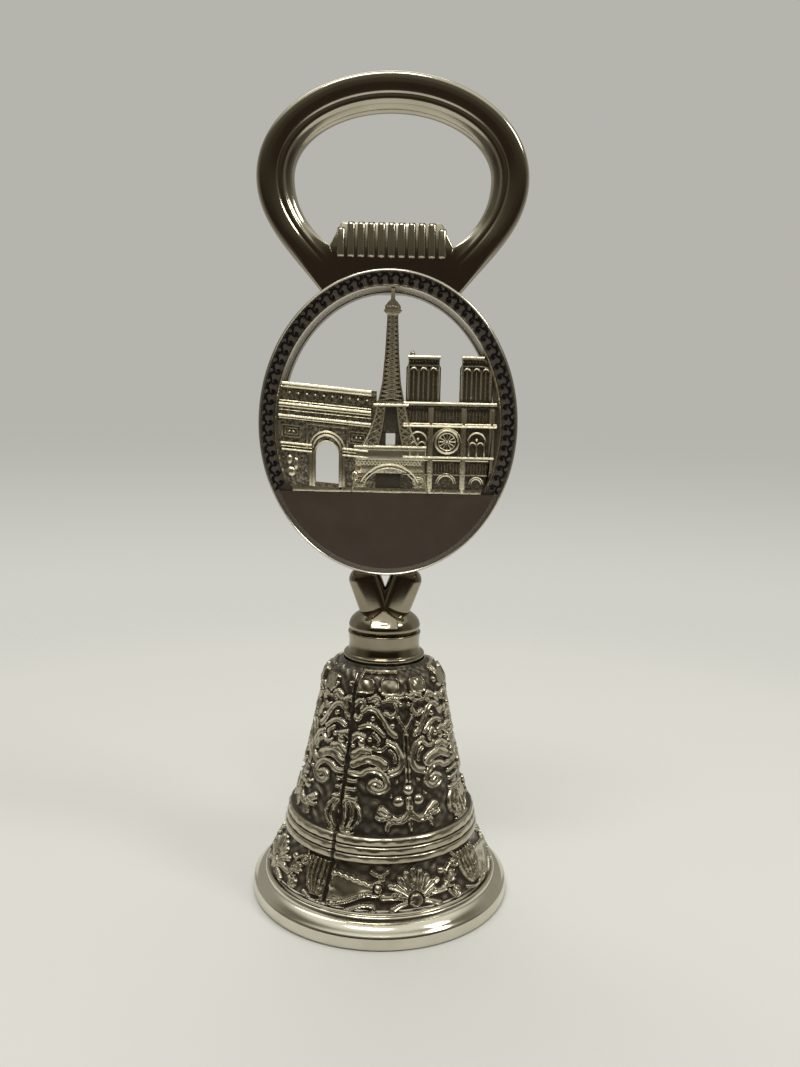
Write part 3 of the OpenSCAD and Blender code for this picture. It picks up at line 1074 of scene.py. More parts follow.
    def half_motif(self, at: Point, hand: int) -> None:
        """Raises one side of the scrollwork that hangs between two urns, measured from its own axis.

        Args:
            at: Its place.
            hand: 1 for the left side, -1 for the right.
        """
        bars = (
            ([(-0.1, 6.0), (0.15, 4.4), (-0.8, 2.9), (-2.5, 2.6), (-3.4, 3.5), (-4.6, 4.4)], (0.50, 0.72), 0.35),
            ([(-2.7, 2.8), (-3.6, 2.2), (-3.7, 1.2)], (0.62, 0.25), 0.2),
            ([(-3.4, 3.3), (-4.7, 3.0), (-5.3, 3.4)], (0.55, 0.25), 0.2),
            ([(0.0, 3.6), (-0.9, 2.7), (-1.5, 2.3)], (0.52, 0.22), 0.0),
            ([(-10.6, 10.2), (-8.2, 10.0), (-7.2, 10.9), (-5.4, 11.0), (-3.9, 9.9), (-3.4, 8.4), (-4.5, 7.4),
              (-6.2, 7.7),
              (-6.7, 8.6), (-5.6, 9.2), (-4.8, 8.7)], (0.50, 0.62), 0.4),
            ([(-9.8, 11.6), (-7.6, 12.8), (-5.6, 12.6), (-4.2, 11.7)], (0.75, 0.95), 0.3),
            ([(-9.9, 13.2), (-8.4, 14.2), (-6.9, 13.9)], (0.75, 0.55), 0.3),
            ([(-3.6, 15.6), (-1.9, 14.9), (-0.9, 12.9), (-1.4, 10.9), (-3.1, 10.4)], (0.50, 0.68), 0.5),
            ([(-3.3, 14.2), (-2.3, 13.6), (-2.2, 12.4)], (0.30, 0.42), 0.0),
            ([(-6.3, 14.6), (-4.9, 14.0), (-3.6, 15.1)], (0.36, 0.36), 0.0),
            ([(-9.2, 17.7), (-7.9, 18.3), (-6.3, 18.2), (-4.3, 16.7)], (0.42, 0.46), 0.2),
            ([(-6.3, 16.8), (-5.0, 15.9), (-5.4, 15.2)], (0.42, 0.35), 0.0),
            ([(-8.9, 20.2), (-7.6, 21.2), (-5.9, 20.8), (-4.5, 19.3), (-3.3, 17.4), (-2.1, 16.6)], (0.45, 0.62), 0.4),
            ([(-10.6, 19.4), (-9.6, 18.9), (-9.0, 19.8)], (0.5, 0.4), 0.2),
            ([(-4.1, 20.3), (-2.7, 19.6), (-1.5, 20.8), (-2.2, 22.0)], (0.46, 0.40), 0.2),
            ([(-1.5, 19.6), (-0.7, 18.3), (0.0, 17.5)], (0.34, 0.36), 0.0),
            ([(-10.7, 21.4), (-9.5, 22.4), (-8.3, 21.9), (-8.9, 20.9)], (0.5, 0.5), 0.3),
            ([(-7.4, 22.4), (-6.2, 23.2), (-5.0, 22.4), (-5.9, 21.7)], (0.5, 0.46), 0.3),
            ([(-3.9, 22.9), (-2.7, 23.4), (-1.4, 22.9), (-0.2, 23.3)], (0.42, 0.50), 0.2),
            ([(-10.8, 15.6), (-9.6, 16.6), (-8.2, 16.2)], (0.7, 0.5), 0.3),
            ([(-10.9, 23.8), (-10.6, 25.4), (-10.2, 27.0)], (0.6, 0.7), 0.3),
        )
        for path, width, channel in bars:
            self.stroke(at, flowing(path), (width[0] * 1.22, width[1] * 1.22), 0.55, channel, hand)
        for off, radius in (((-1.75, 5.7), 0.95), ((-8.6, 15.2), 0.8), ((-7.0, 15.9), 0.6), ((-10.2, 14.6), 0.5),
                            ((-2.6, 18.2), 0.55), ((-0.9, 21.6), 0.55), ((-6.6, 19.4), 0.6), ((-9.4, 24.9), 0.6),
                            ((-5.4, 24.3), 0.45), ((-2.0, 9.0), 0.34), ((-3.0, 6.6), 0.30)):
            self.boss(at, (radius, radius * 0.94), 0.62, 0.0, (off[0] * hand, off[1]))

    def drop(self, at: Point) -> None:
        """Raises the stem, bead and pointed leaf on the motif's axis.

        Args:
            at: Its place.
        """
        for side in (-0.42, 0.42):
            self.stroke(at, [(side, 16.6), (side * 0.7, 8.7)], (0.30, 0.26), 0.45)
        self.boss(at, (0.95, 0.95), 0.66, 0.3, (0.0, 7.5))
        self.boss(at, (0.5, 0.5), 0.5, 0.0, (0.0, 16.9))
        self.stroke(at, [(0.0, 4.2), (0.0, 2.4), (0.0, 0.9)], (0.62, 0.18), 0.5)

    def panel(self, at: Point, half: Point, height: float = 0.58) -> None:
        """Raises a smooth cushioned panel with a moulded border.

        Args:
            at: Its place.
            half: Half width and half height.
            height: Its height.
        """
        window = self.window(at, (-half[0] - 0.3, -half[1] - 0.3), (half[0] + 0.3, half[1] + 0.3))
        if window is None:
            return
        index, across, up = window
        inside = (np.abs(across / half[0]) ** 5 + np.abs(up / half[1]) ** 5) ** 0.2
        self.lay(index, height * np.clip((1.0 - inside) * 6.0, 0, 1) + 0.14 * np.exp(-((inside - 0.80) / 0.07) ** 2))


@dataclass
class BellSkin:
    """The bell: its rolled lip, leaf band, three ridges and scrolled field, in one casting."""

    lip_r: float = 22.9
    band_z: Point = (4.9, 12.2)
    band_r: Point = (20.6, 16.95)
    field_z: float = 15.8
    field_r: float = 16.1
    shoulder_r: float = 11.3
    shoulder_drop: float = 5.9
    neck_r: float = 7.15
    wall: float = 1.9
    depth: float = 0.62
    seam_deg: float = -27.0
    motif_deg: float = 20.0
    top: float = field(default_factory=lambda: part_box("bell_body")[1].z / MM)

    def field_outline(self, rows: int) -> tuple[Array, Array]:
        """Radius and height of the scrolled field and the shoulder, evenly spaced along the metal.

        Args:
            rows: How many points.

        Returns:
            Radii and heights.
        """
        high = self.top - self.shoulder_drop
        lower = bezier([(self.field_r, self.field_z), (self.field_r - 2.5, self.field_z + 8.7),
                        (self.shoulder_r, high)], 60)
        t = np.linspace(0, np.pi / 2, 40)[1:]
        upper = np.stack([self.neck_r + (self.shoulder_r - self.neck_r) * np.cos(t),
                          high + (self.top - 0.05 - high) * np.sin(t)], 1)
        line = np.vstack([lower, upper])
        along = np.concatenate([[0], np.cumsum(np.hypot(*np.diff(line, axis=0).T))])
        even = np.linspace(0, along[-1], rows)
        return np.interp(even, along, line[:, 0]), np.interp(even, along, line[:, 1])

    def _pattern_field(self, relief: Relief) -> None:
        """Lays the scrollwork of the field: four urns, and what hangs between them.

        Args:
            relief: The height field.
        """
        for k in range(4):
            place = (self.motif_deg + 90.0 * k, self.field_z)
            relief.urn((place[0] - 45.0, self.field_z))
            relief.drop(place)
            for hand in (-1, 1):
                relief.half_motif(place, hand)
                relief.stroke((place[0] + hand * 19.0, 37.7),
                              flowing([(-3.2, 0.2), (-1.2, -0.5), (1.4, 0.1), (3.2, -0.3)]), (0.42, 0.42), 0.5)
            for aside, half in ((-38.0, (2.9, 1.5)), (-13.0, (2.35, 1.75)), (14.0, (2.35, 1.6))):
                relief.panel((place[0] + aside, 39.9), half)
            relief.stroke((place[0] - 25.0, 42.0), [(-5.0, 0.1), (5.0, 0.1)], (0.40, 0.40), 0.5)

    def _pattern_band(self, relief: Relief) -> None:
        """Lays the shells, big leaves and curls of the leaf band, four times round.

        Args:
            relief: The height field.
        """
        for k in range(4):
            base = self.motif_deg - 1.0 + 90.0 * k
            shell = (base, 6.6)
            relief.fan((base, 6.7), 4.9, 9, 150, 90)
            for hand in (-1, 1):
                for lean, long in ((150, 5.0), (172, 5.6), (196, 4.2)):
                    a = radians(lean if hand < 0 else 180 - lean)
                    tip = np.array([cos(a), sin(a)])
                    relief.stroke(shell, flowing([tip * 0.6, tip * long * 0.55 + np.array([0.0, 0.35]), tip * long]),
                                  (0.40, 0.62), 0.52, 0.3)
                relief.boss((base + hand * 17.0, 9.9), (0.75, 0.6), 0.5)
            relief.boss(shell, (1.15, 1.15), 0.66, 0.30)
            relief.stroke(shell, [(0.8 * cos(a), 0.8 * sin(a)) for a in np.linspace(0, 6.28, 18)], (0.2, 0.2), 0.62)
            leaf = (base - 30.0, 8.2)
            scallops = [(-6.4 + 9.6 * t, 2.5 - 1.6 * t ** 2 + 0.22 * abs(sin(t * 8 * pi)))
                        for t in np.linspace(0, 1, 49)]
            relief.fill(leaf, [(-6.3, -2.9), (-2.0, -2.2), (1.4, -0.7), (3.0, -0.4), *scallops[::-1]], 0.50)
            relief.stroke(leaf, flowing([(-6.0, -3.2), (-1.5, -2.2), (1.6, -0.5), (3.6, -0.9), (4.6, 0.3), (3.8, 1.5),
                                         (2.7, 0.8)]), (0.30, 0.42), 0.6)
            relief.boss((base - 30.0, 8.2), (0.75, 0.75), 0.64, 0.2, (3.7, 0.3))
            relief.stroke((base - 24.0, 5.6),
                          flowing([(-3.4, -0.4), (-1.0, 0.6), (0.9, 0.7), (1.3, -0.3), (0.2, -0.7)]), (0.40, 0.46),
                          0.52, 0.3)
            relief.stroke((base - 18.0, 10.6), flowing([(-1.6, 0.2), (0.0, -0.6), (1.5, 0.3)]), (0.36, 0.36), 0.5)
            for off, size, turn, flip in ((22.0, 1.25, 120, 1), (26.5, 1.0, 40, -1), (23.0, 0.9, 210, 1)):
                relief.scroll((base + off, 8.9 if size > 1.1 else (10.4 if flip < 0 else 6.5)), size, turn, flip,
                              0.52, 1.1, 0.46)
            relief.leaf((base + 17.5, 7.6), 3.2, 30, 3, 0.42, 0.5, 0.1)
            for flute in range(6):
                x = 2.9 * (2 * (flute + 0.5) / 6 - 1)
                relief.stroke((base + 38.5, 9.0),
                              flowing([(x, 2.4), (x * 1.12, 0.6), (x * 0.8, -1.6), (x * 0.35, -2.9)]), (0.46, 0.34),
                              0.58)
            relief.stroke((base + 38.5, 5.6), flowing([(-2.4, 0.5), (0.0, -0.4), (2.4, 0.5)]), (0.36, 0.36), 0.5)
            relief.scroll((base + 50.0, 6.4), 1.0, 60, -1, 0.5, 1.4, 0.42)

    @staticmethod
    def _cavity(level: Array, span: int) -> Array:
        """How high each point lies against its surroundings, from 0 in a crevice to 1 on a crest.

        Args:
            level: The height field.
            span: Reach of the comparison in grid steps.

        Returns:
            The share for each point.
        """
        soft = level.copy()
        for axis in (0, 1):
            kernel = np.hanning(2 * span + 3)[1:-1]
            kernel /= kernel.sum()
            soft = np.apply_along_axis(
                lambda line: np.convolve(np.pad(line, span, "edge"), kernel, "valid"), axis, soft)
        return np.clip(0.24 + level / 0.5 * 0.45 + (level - soft) * 2.6, 0, 1)

    def _relief_piece(self, name: str, angles: Array, radii: Array, heights: Array,
                      level: Array, inner: Path, material: Material,
                      closed: bool) -> Piece:
        """Turns a height field into a closed casting with a plain inner wall.

        Args:
            name: The object's name.
            angles: Angle of each column, in radians.
            radii: Radius of each row.
            heights: Height of each row.
            level: How far each point stands out.
            inner: Inner wall as (radius, height).
            material: Its finish.
            closed: Whether it goes right round.

        Returns:
            The casting.
        """
        slope_r, slope_z = np.gradient(radii), np.gradient(heights)
        size = np.hypot(slope_r, slope_z)
        out_r, out_z = slope_z / size, -slope_r / size
        lift = level - self.depth
        fade = np.clip(np.minimum(np.arange(len(radii)), np.arange(len(radii))[::-1]) / 3.0, 0, 1)
        r = radii[None, :] + lift * out_r[None, :]
        z = heights[None, :] + lift * out_z[None, :] * fade[None, :]
        inner_xy = np.array(inner, float)
        r = np.hstack([r, np.repeat(inner_xy[:, 0][None, :], len(angles), 0)])
        z = np.hstack([z, np.repeat(inner_xy[:, 1][None, :], len(angles), 0)])
        verts = np.stack([r * np.sin(angles)[:, None], -r * np.cos(angles)[:, None], z], -1)
        rows, cols = r.shape
        made = new_object(name, verts.reshape(-1, 3), tube_faces(rows, cols, closed), material)
        # The cavity share drives the antique toning and painted shade of the finish.
        cavity = np.zeros((rows, cols))
        cavity[:, :len(radii)] = self._cavity(level, 7)
        cavity[:, len(radii):] = 0.5
        layer = made.data.attributes.new("cavity", "FLOAT", "POINT")
        layer.data.foreach_set("value", cavity.ravel().astype(np.float32))
        work = bmesh.new()
        work.from_mesh(made.data)
        bmesh.ops.recalc_face_normals(work, faces=work.faces)
        work.to_mesh(made.data)
        work.free()
        made.data.set_sharp_from_angle(angle=radians(70))
        return made

    def field_halves(self, material: Material) -> list[Piece]:
        """The two halves of the scrolled field, parted along the casting's seam.

        Args:
            material: Its finish.

        Returns:
            The front half and the back half.
        """
        radii, heights = self.field_outline(214)
        inner = [(7.0, 39.6), (self.shoulder_r - self.wall - 0.9, 38.9),
                 *[(p[0] - self.wall, p[1]) for p in bezier([(self.shoulder_r, self.top - self.shoulder_drop),
                   (self.field_r - 2.5, self.field_z + 8.7), (self.field_r, self.field_z)], 7)]]
        made = []
        for side, start in enumerate((self.seam_deg, self.seam_deg + 180.0)):
            angles = np.radians(np.linspace(start, start + 180.0, 428))
            shift = 0.28 if side else 0.0
            relief = Relief(angles, radii, heights + shift)
            self._pattern_field(relief)
            edge = np.minimum(angles - angles[0], angles[-1] - angles)[:, None] * radii[None, :]
            relief.level *= np.clip((edge - 0.2) / 0.55, 0, 1) ** 0.6
            ragged = 0.42 + 0.20 * np.sin(relief.arc * 0.8) + 0.12 * np.sin(relief.arc * 2.1 + 1.0)
            relief.level -= 0.30 * np.exp(-(edge / ragged[None, :]) ** 2)
            relief.hammer(0.055, 5)
            taper = np.clip(np.arange(len(radii))[::-1] / 6.0, 0, 1)[None, :]
            made.append(self._relief_piece(f"bell_scroll_field_{'front' if not side else 'back'}", angles, radii,
                                           heights, relief.level * taper, inner, material, False))
        return made

    def leaf_band(self, material: Material) -> Piece:
        """The band of shells and leaves above the lip.

        Args:
            material: Its finish.

        Returns:
            The band.
        """
        rows = 66
        line = bezier([(self.band_r[0], self.band_z[0]), (self.band_r[0] - 1.9, self.band_z[0] + 4.1),
                       (self.band_r[1], self.band_z[1])], rows)
        angles = np.linspace(0, 2 * np.pi, 1040, endpoint=False)
        relief = Relief(angles, line[:, 0], line[:, 1])
        self._pattern_band(relief)
        turn = turn_from(angles, self.seam_deg)
        relief.level *= np.clip(np.abs(turn) * 18 / 0.6 - 0.3, 0, 1)[:, None] ** 0.6
        relief.level -= 0.28 * np.exp(-(turn * 18 / 0.35) ** 2)[:, None]
        relief.hammer(0.055, 6)
        edge = np.minimum(np.arange(rows), np.arange(rows)[::-1]) / 4.0
        relief.level *= np.clip(edge, 0, 1)[None, :]
        inner = [(p[0] - self.wall, p[1]) for p in line[::-13]]
        return self._relief_piece("bell_leaf_band", angles, line[:, 0], line[:, 1], relief.level, inner, material,
                                  True)

    def lip(self, material: Material) -> Piece:
        """The broad polished lip that the bell stands on.

        Args:
            material: Its finish.

        Returns:
            The lip.
        """
        r = self.lip_r
        outer = [(r - 1.9, 0.0), (r - 0.50, 0.0), (r - 0.22, 0.08), (r - 0.06, 0.28), (r, 0.6), (r, 1.5),
                 (r - 0.05, 2.0),
                 (r - 0.14, 2.28), (r - 0.30, 2.46),
                 *bezier([(r - 0.42, 2.55), (r - 1.05, 3.45), (r - 1.75, 3.75), (r - 2.05, 3.70)], 10),
                 *bezier([(r - 2.12, 3.95), (r - 2.25, 4.65), (r - 2.75, 4.60), (r - 2.9, 4.2)], 8),
                 (self.band_r[0] - 0.75, 4.5), (self.band_r[0] - 0.8, 5.3), (self.band_r[0] - self.wall + 0.2, 5.3)]
        return lathe("bell_lip", [*outer, (r - 1.9, 3.0)], material, 256, 50)

    def ridges(self, material: Material) -> Piece:
        """Three rounded ridges between the leaf band and the field.

        Args:
            material: Its finish.

        Returns:
            The ridges.
        """
        rows, out = 61, self.depth + 0.05
        t = np.linspace(0, 1, rows)
        radii = self.band_r[1] + out + (self.field_r - self.band_r[1]) * t
        heights = self.band_z[1] - 0.3 + (self.field_z + 0.5 - self.band_z[1]) * t
        angles = np.linspace(0, 2 * np.pi, 900, endpoint=False)
        relief = Relief(angles, radii, heights)
        phase = np.abs(t * 3 % 1 * 2 - 1)
        relief.level += (0.52 * np.sqrt(np.clip(1 - phase ** 3.0, 0, 1)) - 0.12)[None, :]
        turn = turn_from(angles, self.seam_deg)
        relief.level -= 0.42 * np.exp(-(turn * 17 / 0.42) ** 2)[:, None]
        relief.hammer(0.035, 8)
        inner = [(self.field_r - self.wall + 0.25, heights[-1]), (self.band_r[1] - self.wall + 0.25, heights[0])]
        return self._relief_piece("bell_ridges", angles, radii, heights, relief.level, inner, material, True)

    def inner_skin(self, material: Material) -> Piece:
        """The plain inside of the bell, from the mouth to the crown.

        Args:
            material: Its finish.

        Returns:
            The lining.
        """
        wall = [(self.lip_r - 2.1, 0.4), (self.lip_r - 2.1, 3.0),
                *[(p[0] - self.wall, p[1]) for p in bezier([(self.band_r[0], 5.3), (self.band_r[0] - 1.9, 9.0),
                                                            (self.band_r[1], 12.2)], 6)],
                *[(p[0] - self.wall, p[1]) for p in bezier([(self.field_r, self.field_z),
                                                            (self.field_r - 2.5, self.field_z + 8.7),
                                                            (self.shoulder_r, self.top - self.shoulder_drop)], 9)],
                (self.shoulder_r - self.wall - 0.9, 38.9), (7.0, 39.6), (2.12, 39.6), (2.12, 39.9), (7.2, 39.9)]
        outside = [(r + 0.3, z) for r, z in reversed(wall[:-4])]
        return lathe("bell_inside", [*wall, *outside], material, 160, 60)

    def make(self, palette: Palette) -> list[Piece]:
        """Builds the bell and stands it for its CAD node.

        Args:
            palette: The finishes.

        Returns:
            The pieces.
        """
        pieces = [*self.field_halves(palette.relief), self.leaf_band(palette.relief), self.lip(palette.lip),
                  self.ridges(palette.relief), self.inner_skin(palette.inside)]
        for piece in pieces:
            place_on(piece, Body.BELL, "bell_nickel", "bell_body")
        return pieces


def place_on(piece: Piece, body: Body, slot: str, *nodes: str) -> None:
    """Rides a piece on a body and hides the CAD nodes it stands for.

    Args:
        piece: The object.
        body: The body it moves with.
        slot: Not used.
        nodes: CAD nodes it stands for.
    """
    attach(piece, body.value)
    if nodes:
        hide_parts(*nodes)
    LOG.info("%s rides on %s with %d faces", piece.name, body.value, len(piece.data.polygons))


# ---------------------------------------------------------------- neck and handle
@dataclass
class Neck:
    """The polished ferrule between the bell and the handle's foot."""

    base: float = field(default_factory=lambda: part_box("neck_ferrule")[0].z / MM)
    top: float = field(default_factory=lambda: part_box("neck_ferrule")[1].z / MM)
    flange_r: float = field(default_factory=lambda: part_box("neck_ferrule")[1].x / MM)
    spool_r: float = 6.4

    def make(self, palette: Palette) -> Piece:
        """Builds the ferrule with a rolled flange and a waisted spool.

        Args:
            palette: The finishes.

        Returns:
            The ferrule.
        """
        b, f, s = self.base, self.flange_r, self.spool_r
        flange = [(f - 0.55 + 0.55 * cos(a), b + 0.57 + 0.57 * sin(a)) for a in np.radians(np.linspace(-90, 90, 11))]
        waist = bezier([(s - 0.06, b + 1.3), (s - 0.34, b + 2.5), (s - 0.06, self.top - 0.45)], 14)
        edge = [(s - 0.04, self.top - 0.3), (s, self.top - 0.2), (s - 0.06, self.top - 0.05), (s - 0.2, self.top)]
        loop = [(2.2, b), (f - 0.6, b), *flange, (s - 0.02, b + 1.16), *waist, *edge, (2.2, self.top)]
        piece = lathe("neck_ferrule_turned", loop, palette.neck, 192, 60)
        place_on(piece, Body.BELL, "polished_nickel", "neck_ferrule")
        return piece


@dataclass
class OpenerHandle:
    """The handle casting: opener ring, tongue, arms, carrier oval, forked stem and domed foot."""

    ring_a: float = field(default_factory=lambda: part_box("opener_handle")[1].x / MM)
    top: float = field(default_factory=lambda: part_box("opener_handle")[1].z / MM)
    foot_z: float = field(default_factory=lambda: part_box("neck_ferrule")[1].z / MM)
    ring_b: float = 16.7
    hole_a: float = 16.25
    hole_b: float = 10.4
    hole_drop: float = 11.1
    tongue_half: float = 8.3
    tongue_rise: float = 4.0
    rib_count: int = 11
    rib_pitch: float = 1.672
    dome_r: float = 6.25
    dome_h: float = 3.9
    leg_lean: float = 20.0
    leg_w: float = 5.6
    web_t: float = 2.02
    taper: float = 0.55

    def __post_init__(self) -> None:
        """Works out the heights that the rest hangs on."""
        low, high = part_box("medallion_rim")
        self.oval_z = (low.z + high.z) / 2 / MM
        self.oval_a, self.oval_b = high.x / MM, (high.z - low.z) / 2 / MM
        self.ring_z = self.top - self.ring_b
        self.corner = np.array([self.hole_a * 0.634, self.ring_z - self.hole_drop])
        self.waist = np.array([self.ring_a * 0.537, self.oval_z + self.oval_b - 3.3])
        self.dome_z = self.foot_z + 0.4

    def _side(self, share: float, steps: int = 40) -> Array:
        """Right half of the ring from the top down and on along the arm, at a share from outside to opening.

        Args:
            share: 0 for the outside, 1 for the opening.
            steps: Points on each curve.

        Returns:
            Points as (X, Z).
        """
        a = self.ring_a + (self.hole_a - self.ring_a) * share
        b = self.ring_b + (self.hole_b - self.ring_b) * share
        end = self.waist + (self.corner - self.waist) * share
        t = np.linspace(np.pi / 2, 0, steps)
        upper = np.stack([a * np.cos(t), self.ring_z + b * np.sin(t)], 1)
        lower = bezier([(a, self.ring_z), (a, self.ring_z - 7.3 + 2.7 * share),
                        (self.ring_a * 0.756 - 3 * share, self.ring_z - 11.9 + 4 * share), tuple(end)], steps)
        foot = end + np.array([-2.6 - 0.6 * share, -2.9 - 4.6 * share])
        arm = np.linspace(end, foot, 12)
        return np.vstack([upper, lower[1:], arm[1:]])

    def _face_height(self, share: Array) -> Array:
        """How far the front stands out of the middle plane, from the outside edge to the opening.

        Args:
            share: Shares from outside to opening.

        Returns:
            The heights.
        """
        knots = [(0.0, 0.0), (0.008, 1.0), (0.03, 1.75), (0.07, 2.2), (0.13, 2.42), (0.22, 2.5), (0.35, 2.49),
                 (0.47, 2.40),
                 (0.545, 2.30), (0.575, 2.18), (0.60, 2.09), (0.63, 2.10), (0.69, 2.10), (0.735, 2.03), (0.76, 1.88),
                 (0.79, 1.72), (0.86, 1.50), (0.93, 1.24), (0.965, 0.92), (0.99, 0.45), (1.0, 0.0)]
        return np.interp(share, [k[0] for k in knots], [k[1] for k in knots])

    def _ring(self, palette: Palette) -> Piece:
        """The ring and arms as one closed sweep of a stepped section.

        Args:
            palette: The finishes.

        Returns:
            The ring.
        """
        shares = np.concatenate([[0, 0.008, 0.03, 0.05, 0.07, 0.10], np.linspace(0.13, 0.53, 13),
                                 [0.545, 0.56, 0.575, 0.59, 0.60, 0.615, 0.63, 0.66, 0.69, 0.715, 0.735, 0.75, 0.765,
                                  0.79],
                                 [0.82, 0.86, 0.90, 0.93, 0.95, 0.965, 0.98, 0.99, 1.0]])
        halves = np.stack([self._side(s) for s in shares], 1)
        mirror = halves[::-1] * np.array([-1, 1])
        path = np.vstack([mirror[:-1], halves])
        count = len(path)
        arm = np.clip((np.abs(np.arange(count) - (count - 1) / 2) - 60) / 20.0, 0, 1)[:, None]
        arm = arm * arm * (3 - 2 * arm)
        face = np.repeat(self._face_height(shares)[None, :], count, 0)
        web = np.where(shares > 0.17, self.web_t + 0.01,
                       np.minimum(self._face_height(shares), self.web_t + 0.01))[None, :]
        face = face * (1 - arm) + web * arm
        front = np.stack([path[:, :, 0], -face, path[:, :, 1]], -1)
        back = np.stack([path[:, :, 0], face, path[:, :, 1]], -1)[:, ::-1]
        loop = np.concatenate([front, back[:, 1:-1]], 1)
        rows, cols = loop.shape[:2]
        return tidy_normals(new_object("opener_ring", loop.reshape(-1, 3), tube_faces(rows, cols), palette.polished,
                                       50))

    def _web(self, palette: Palette) -> Piece:
        """The web between the arms, running up into the tapered plate of the tongue.

        Args:
            palette: The finishes.

        Returns:
            The web.
        """
        cx, cz = self.corner
        tip, low = cz + self.tongue_rise, self.oval_z + self.oval_b - 3.85
        thin = self.web_t - self.taper
        levels = [(low, 7.7, self.web_t), (cz - 1.35, cx - 0.3, self.web_t), (cz - 0.1, cx - 0.02, self.web_t - 0.1),
                  (cz + 0.1, cx - 0.02, self.web_t - 0.13), (tip - 0.3, self.tongue_half + 0.15, thin + 0.04),
                  (tip - 0.08, self.tongue_half, thin - 0.1), (tip, self.tongue_half - 0.2, thin - 0.35)]
        verts = []
        for z, w, d in levels:
            quarter = [(w, d - 0.3), (w - 0.08, d - 0.1), (w - 0.3, d)]
            for right, front, step in ((1, 1, 1), (-1, 1, -1), (-1, -1, 1), (1, -1, -1)):
                verts += [(x * right, y * front, z) for x, y in quarter[::step]]
        faces = tube_faces(len(levels), len(verts) // len(levels), hand=-1)
        return tidy_normals(new_object("opener_tongue", np.array(verts), faces, palette.polished, 50))

    def _ribs(self, palette: Palette, tree: GeometryTree) -> Piece:
        """The ribs of the tongue: round-ended bars set side by side.

        Args:
            palette: The finishes.
            tree: What repeats a rib.

        Returns:
            The ribs.
        """
        half = self.rib_pitch * 0.40
        section = np.array([(half * cos(a), 0.42 * sin(a)) for a in np.radians(np.linspace(0, 180, 9))]
                           + [(-half * 0.9, -0.3), (half * 0.9, -0.3)])
        levels = [(0.0, 0.05), (0.012, 0.45), (0.04, 0.8), (0.09, 1.0), (0.93, 1.0), (0.97, 0.8), (1.0, 0.35)]
        verts = [(x * (0.6 + 0.4 * fat), (self.taper * share - max(d, 0) * fat if d > 0 else 0.3), share)
                 for share, fat in levels for x, d in section]
        faces = tube_faces(len(levels), len(section), hand=-1)
        unit = tidy_normals(new_object("tongue_ribs", np.array(verts), faces, palette.polished, 60))
        tip = self.corner[1] + self.tongue_rise
        foot = self.corner[1] - 1.75
        return tree.run(unit, {
            "Count": self.rib_count, "Pitch": self.rib_pitch * MM, "Full Height": tip - foot - 0.05,
            "Fall": self.tongue_rise / (self.corner[0] - self.tongue_half) * 0.98 / MM,
            "Flat Half Width": (self.tongue_half - half * 0.6) * MM,
            "Foot": (0.0, -(self.web_t - 0.06) * MM, foot * MM), "Material": palette.polished})

    def _carrier(self, palette: Palette) -> Piece:
        """The oval frame that carries the medallion."""
        loop = [(0.3, -0.55), (0.3, 1.9), (0.55, 2.3), (1.0, 2.5), (2.9, 2.5), (3.4, 2.3), (3.7, 1.9), (3.75, -0.55)]
        return oval_sweep("medallion_carrier", self.oval_a, self.oval_b, self.oval_z, loop, palette.polished)

    def _stem(self, palette: Palette) -> list[Piece]:
        """The two legs and the domed foot under them.

        Args:
            palette: The finishes.

        Returns:
            Legs, facet and dome.
        """
        yard = Yard()
        lean = radians(self.leg_lean)
        up, side = np.array([sin(lean), cos(lean)]), np.array([cos(lean), -sin(lean)])
        root = np.array([-1.6, self.dome_z + self.dome_h + 1.55 - 2.6])
        leg = [root, root + up * 9.4, root + up * 9.4 + side * self.leg_w, root + side * self.leg_w - up * 1.2]
        for hand in (1, -1):
            yard.put(prism([(x * hand, z) for x, z in leg], -2.35, 2.35))
        legs = yard.piece("forked_stem", palette.neck, 1.9, 6, 60)
        facet = Yard()
        dz = self.dome_z
        verts, faces = prism([(-2.5, dz + 1.2), (2.5, dz + 1.2), (2.3, dz + 2.6), (0.0, dz + 3.9), (-2.3, dz + 2.6)],
                             -6.3, -4.0)
        verts[:, 1] += (verts[:, 2] - dz - 1.2) * 0.90
        facet.put((verts, faces))
        heel = facet.piece("stem_facet", palette.neck, 0.3, 3, 45)
        profile = [(0.0, dz - 0.4), (5.3, dz - 0.4), (5.3, dz), (self.dome_r - 0.3, dz),
                   (self.dome_r - 0.04, dz + 0.22)]
        for a in np.radians(np.linspace(0, 84, 18)):
            profile.append((self.dome_r * cos(a), dz + 0.6 + (self.dome_h - 0.6) * sin(a)))
        profile.append((0.0, dz + self.dome_h))
        dome = turned_solid("domed_foot", profile, palette.neck, 160, 50)
        return [legs, heel, dome]

    def make(self, palette: Palette, ribs: GeometryTree) -> None:
        """Builds every part of the handle casting.

        Args:
            palette: The finishes.
            ribs: What repeats a rib.
        """
        pieces = [self._ring(palette), self._web(palette), self._ribs(palette, ribs), self._carrier(palette),
                  *self._stem(palette)]
        for piece in pieces:
            place_on(piece, Body.BELL, "polished_nickel", "opener_handle")


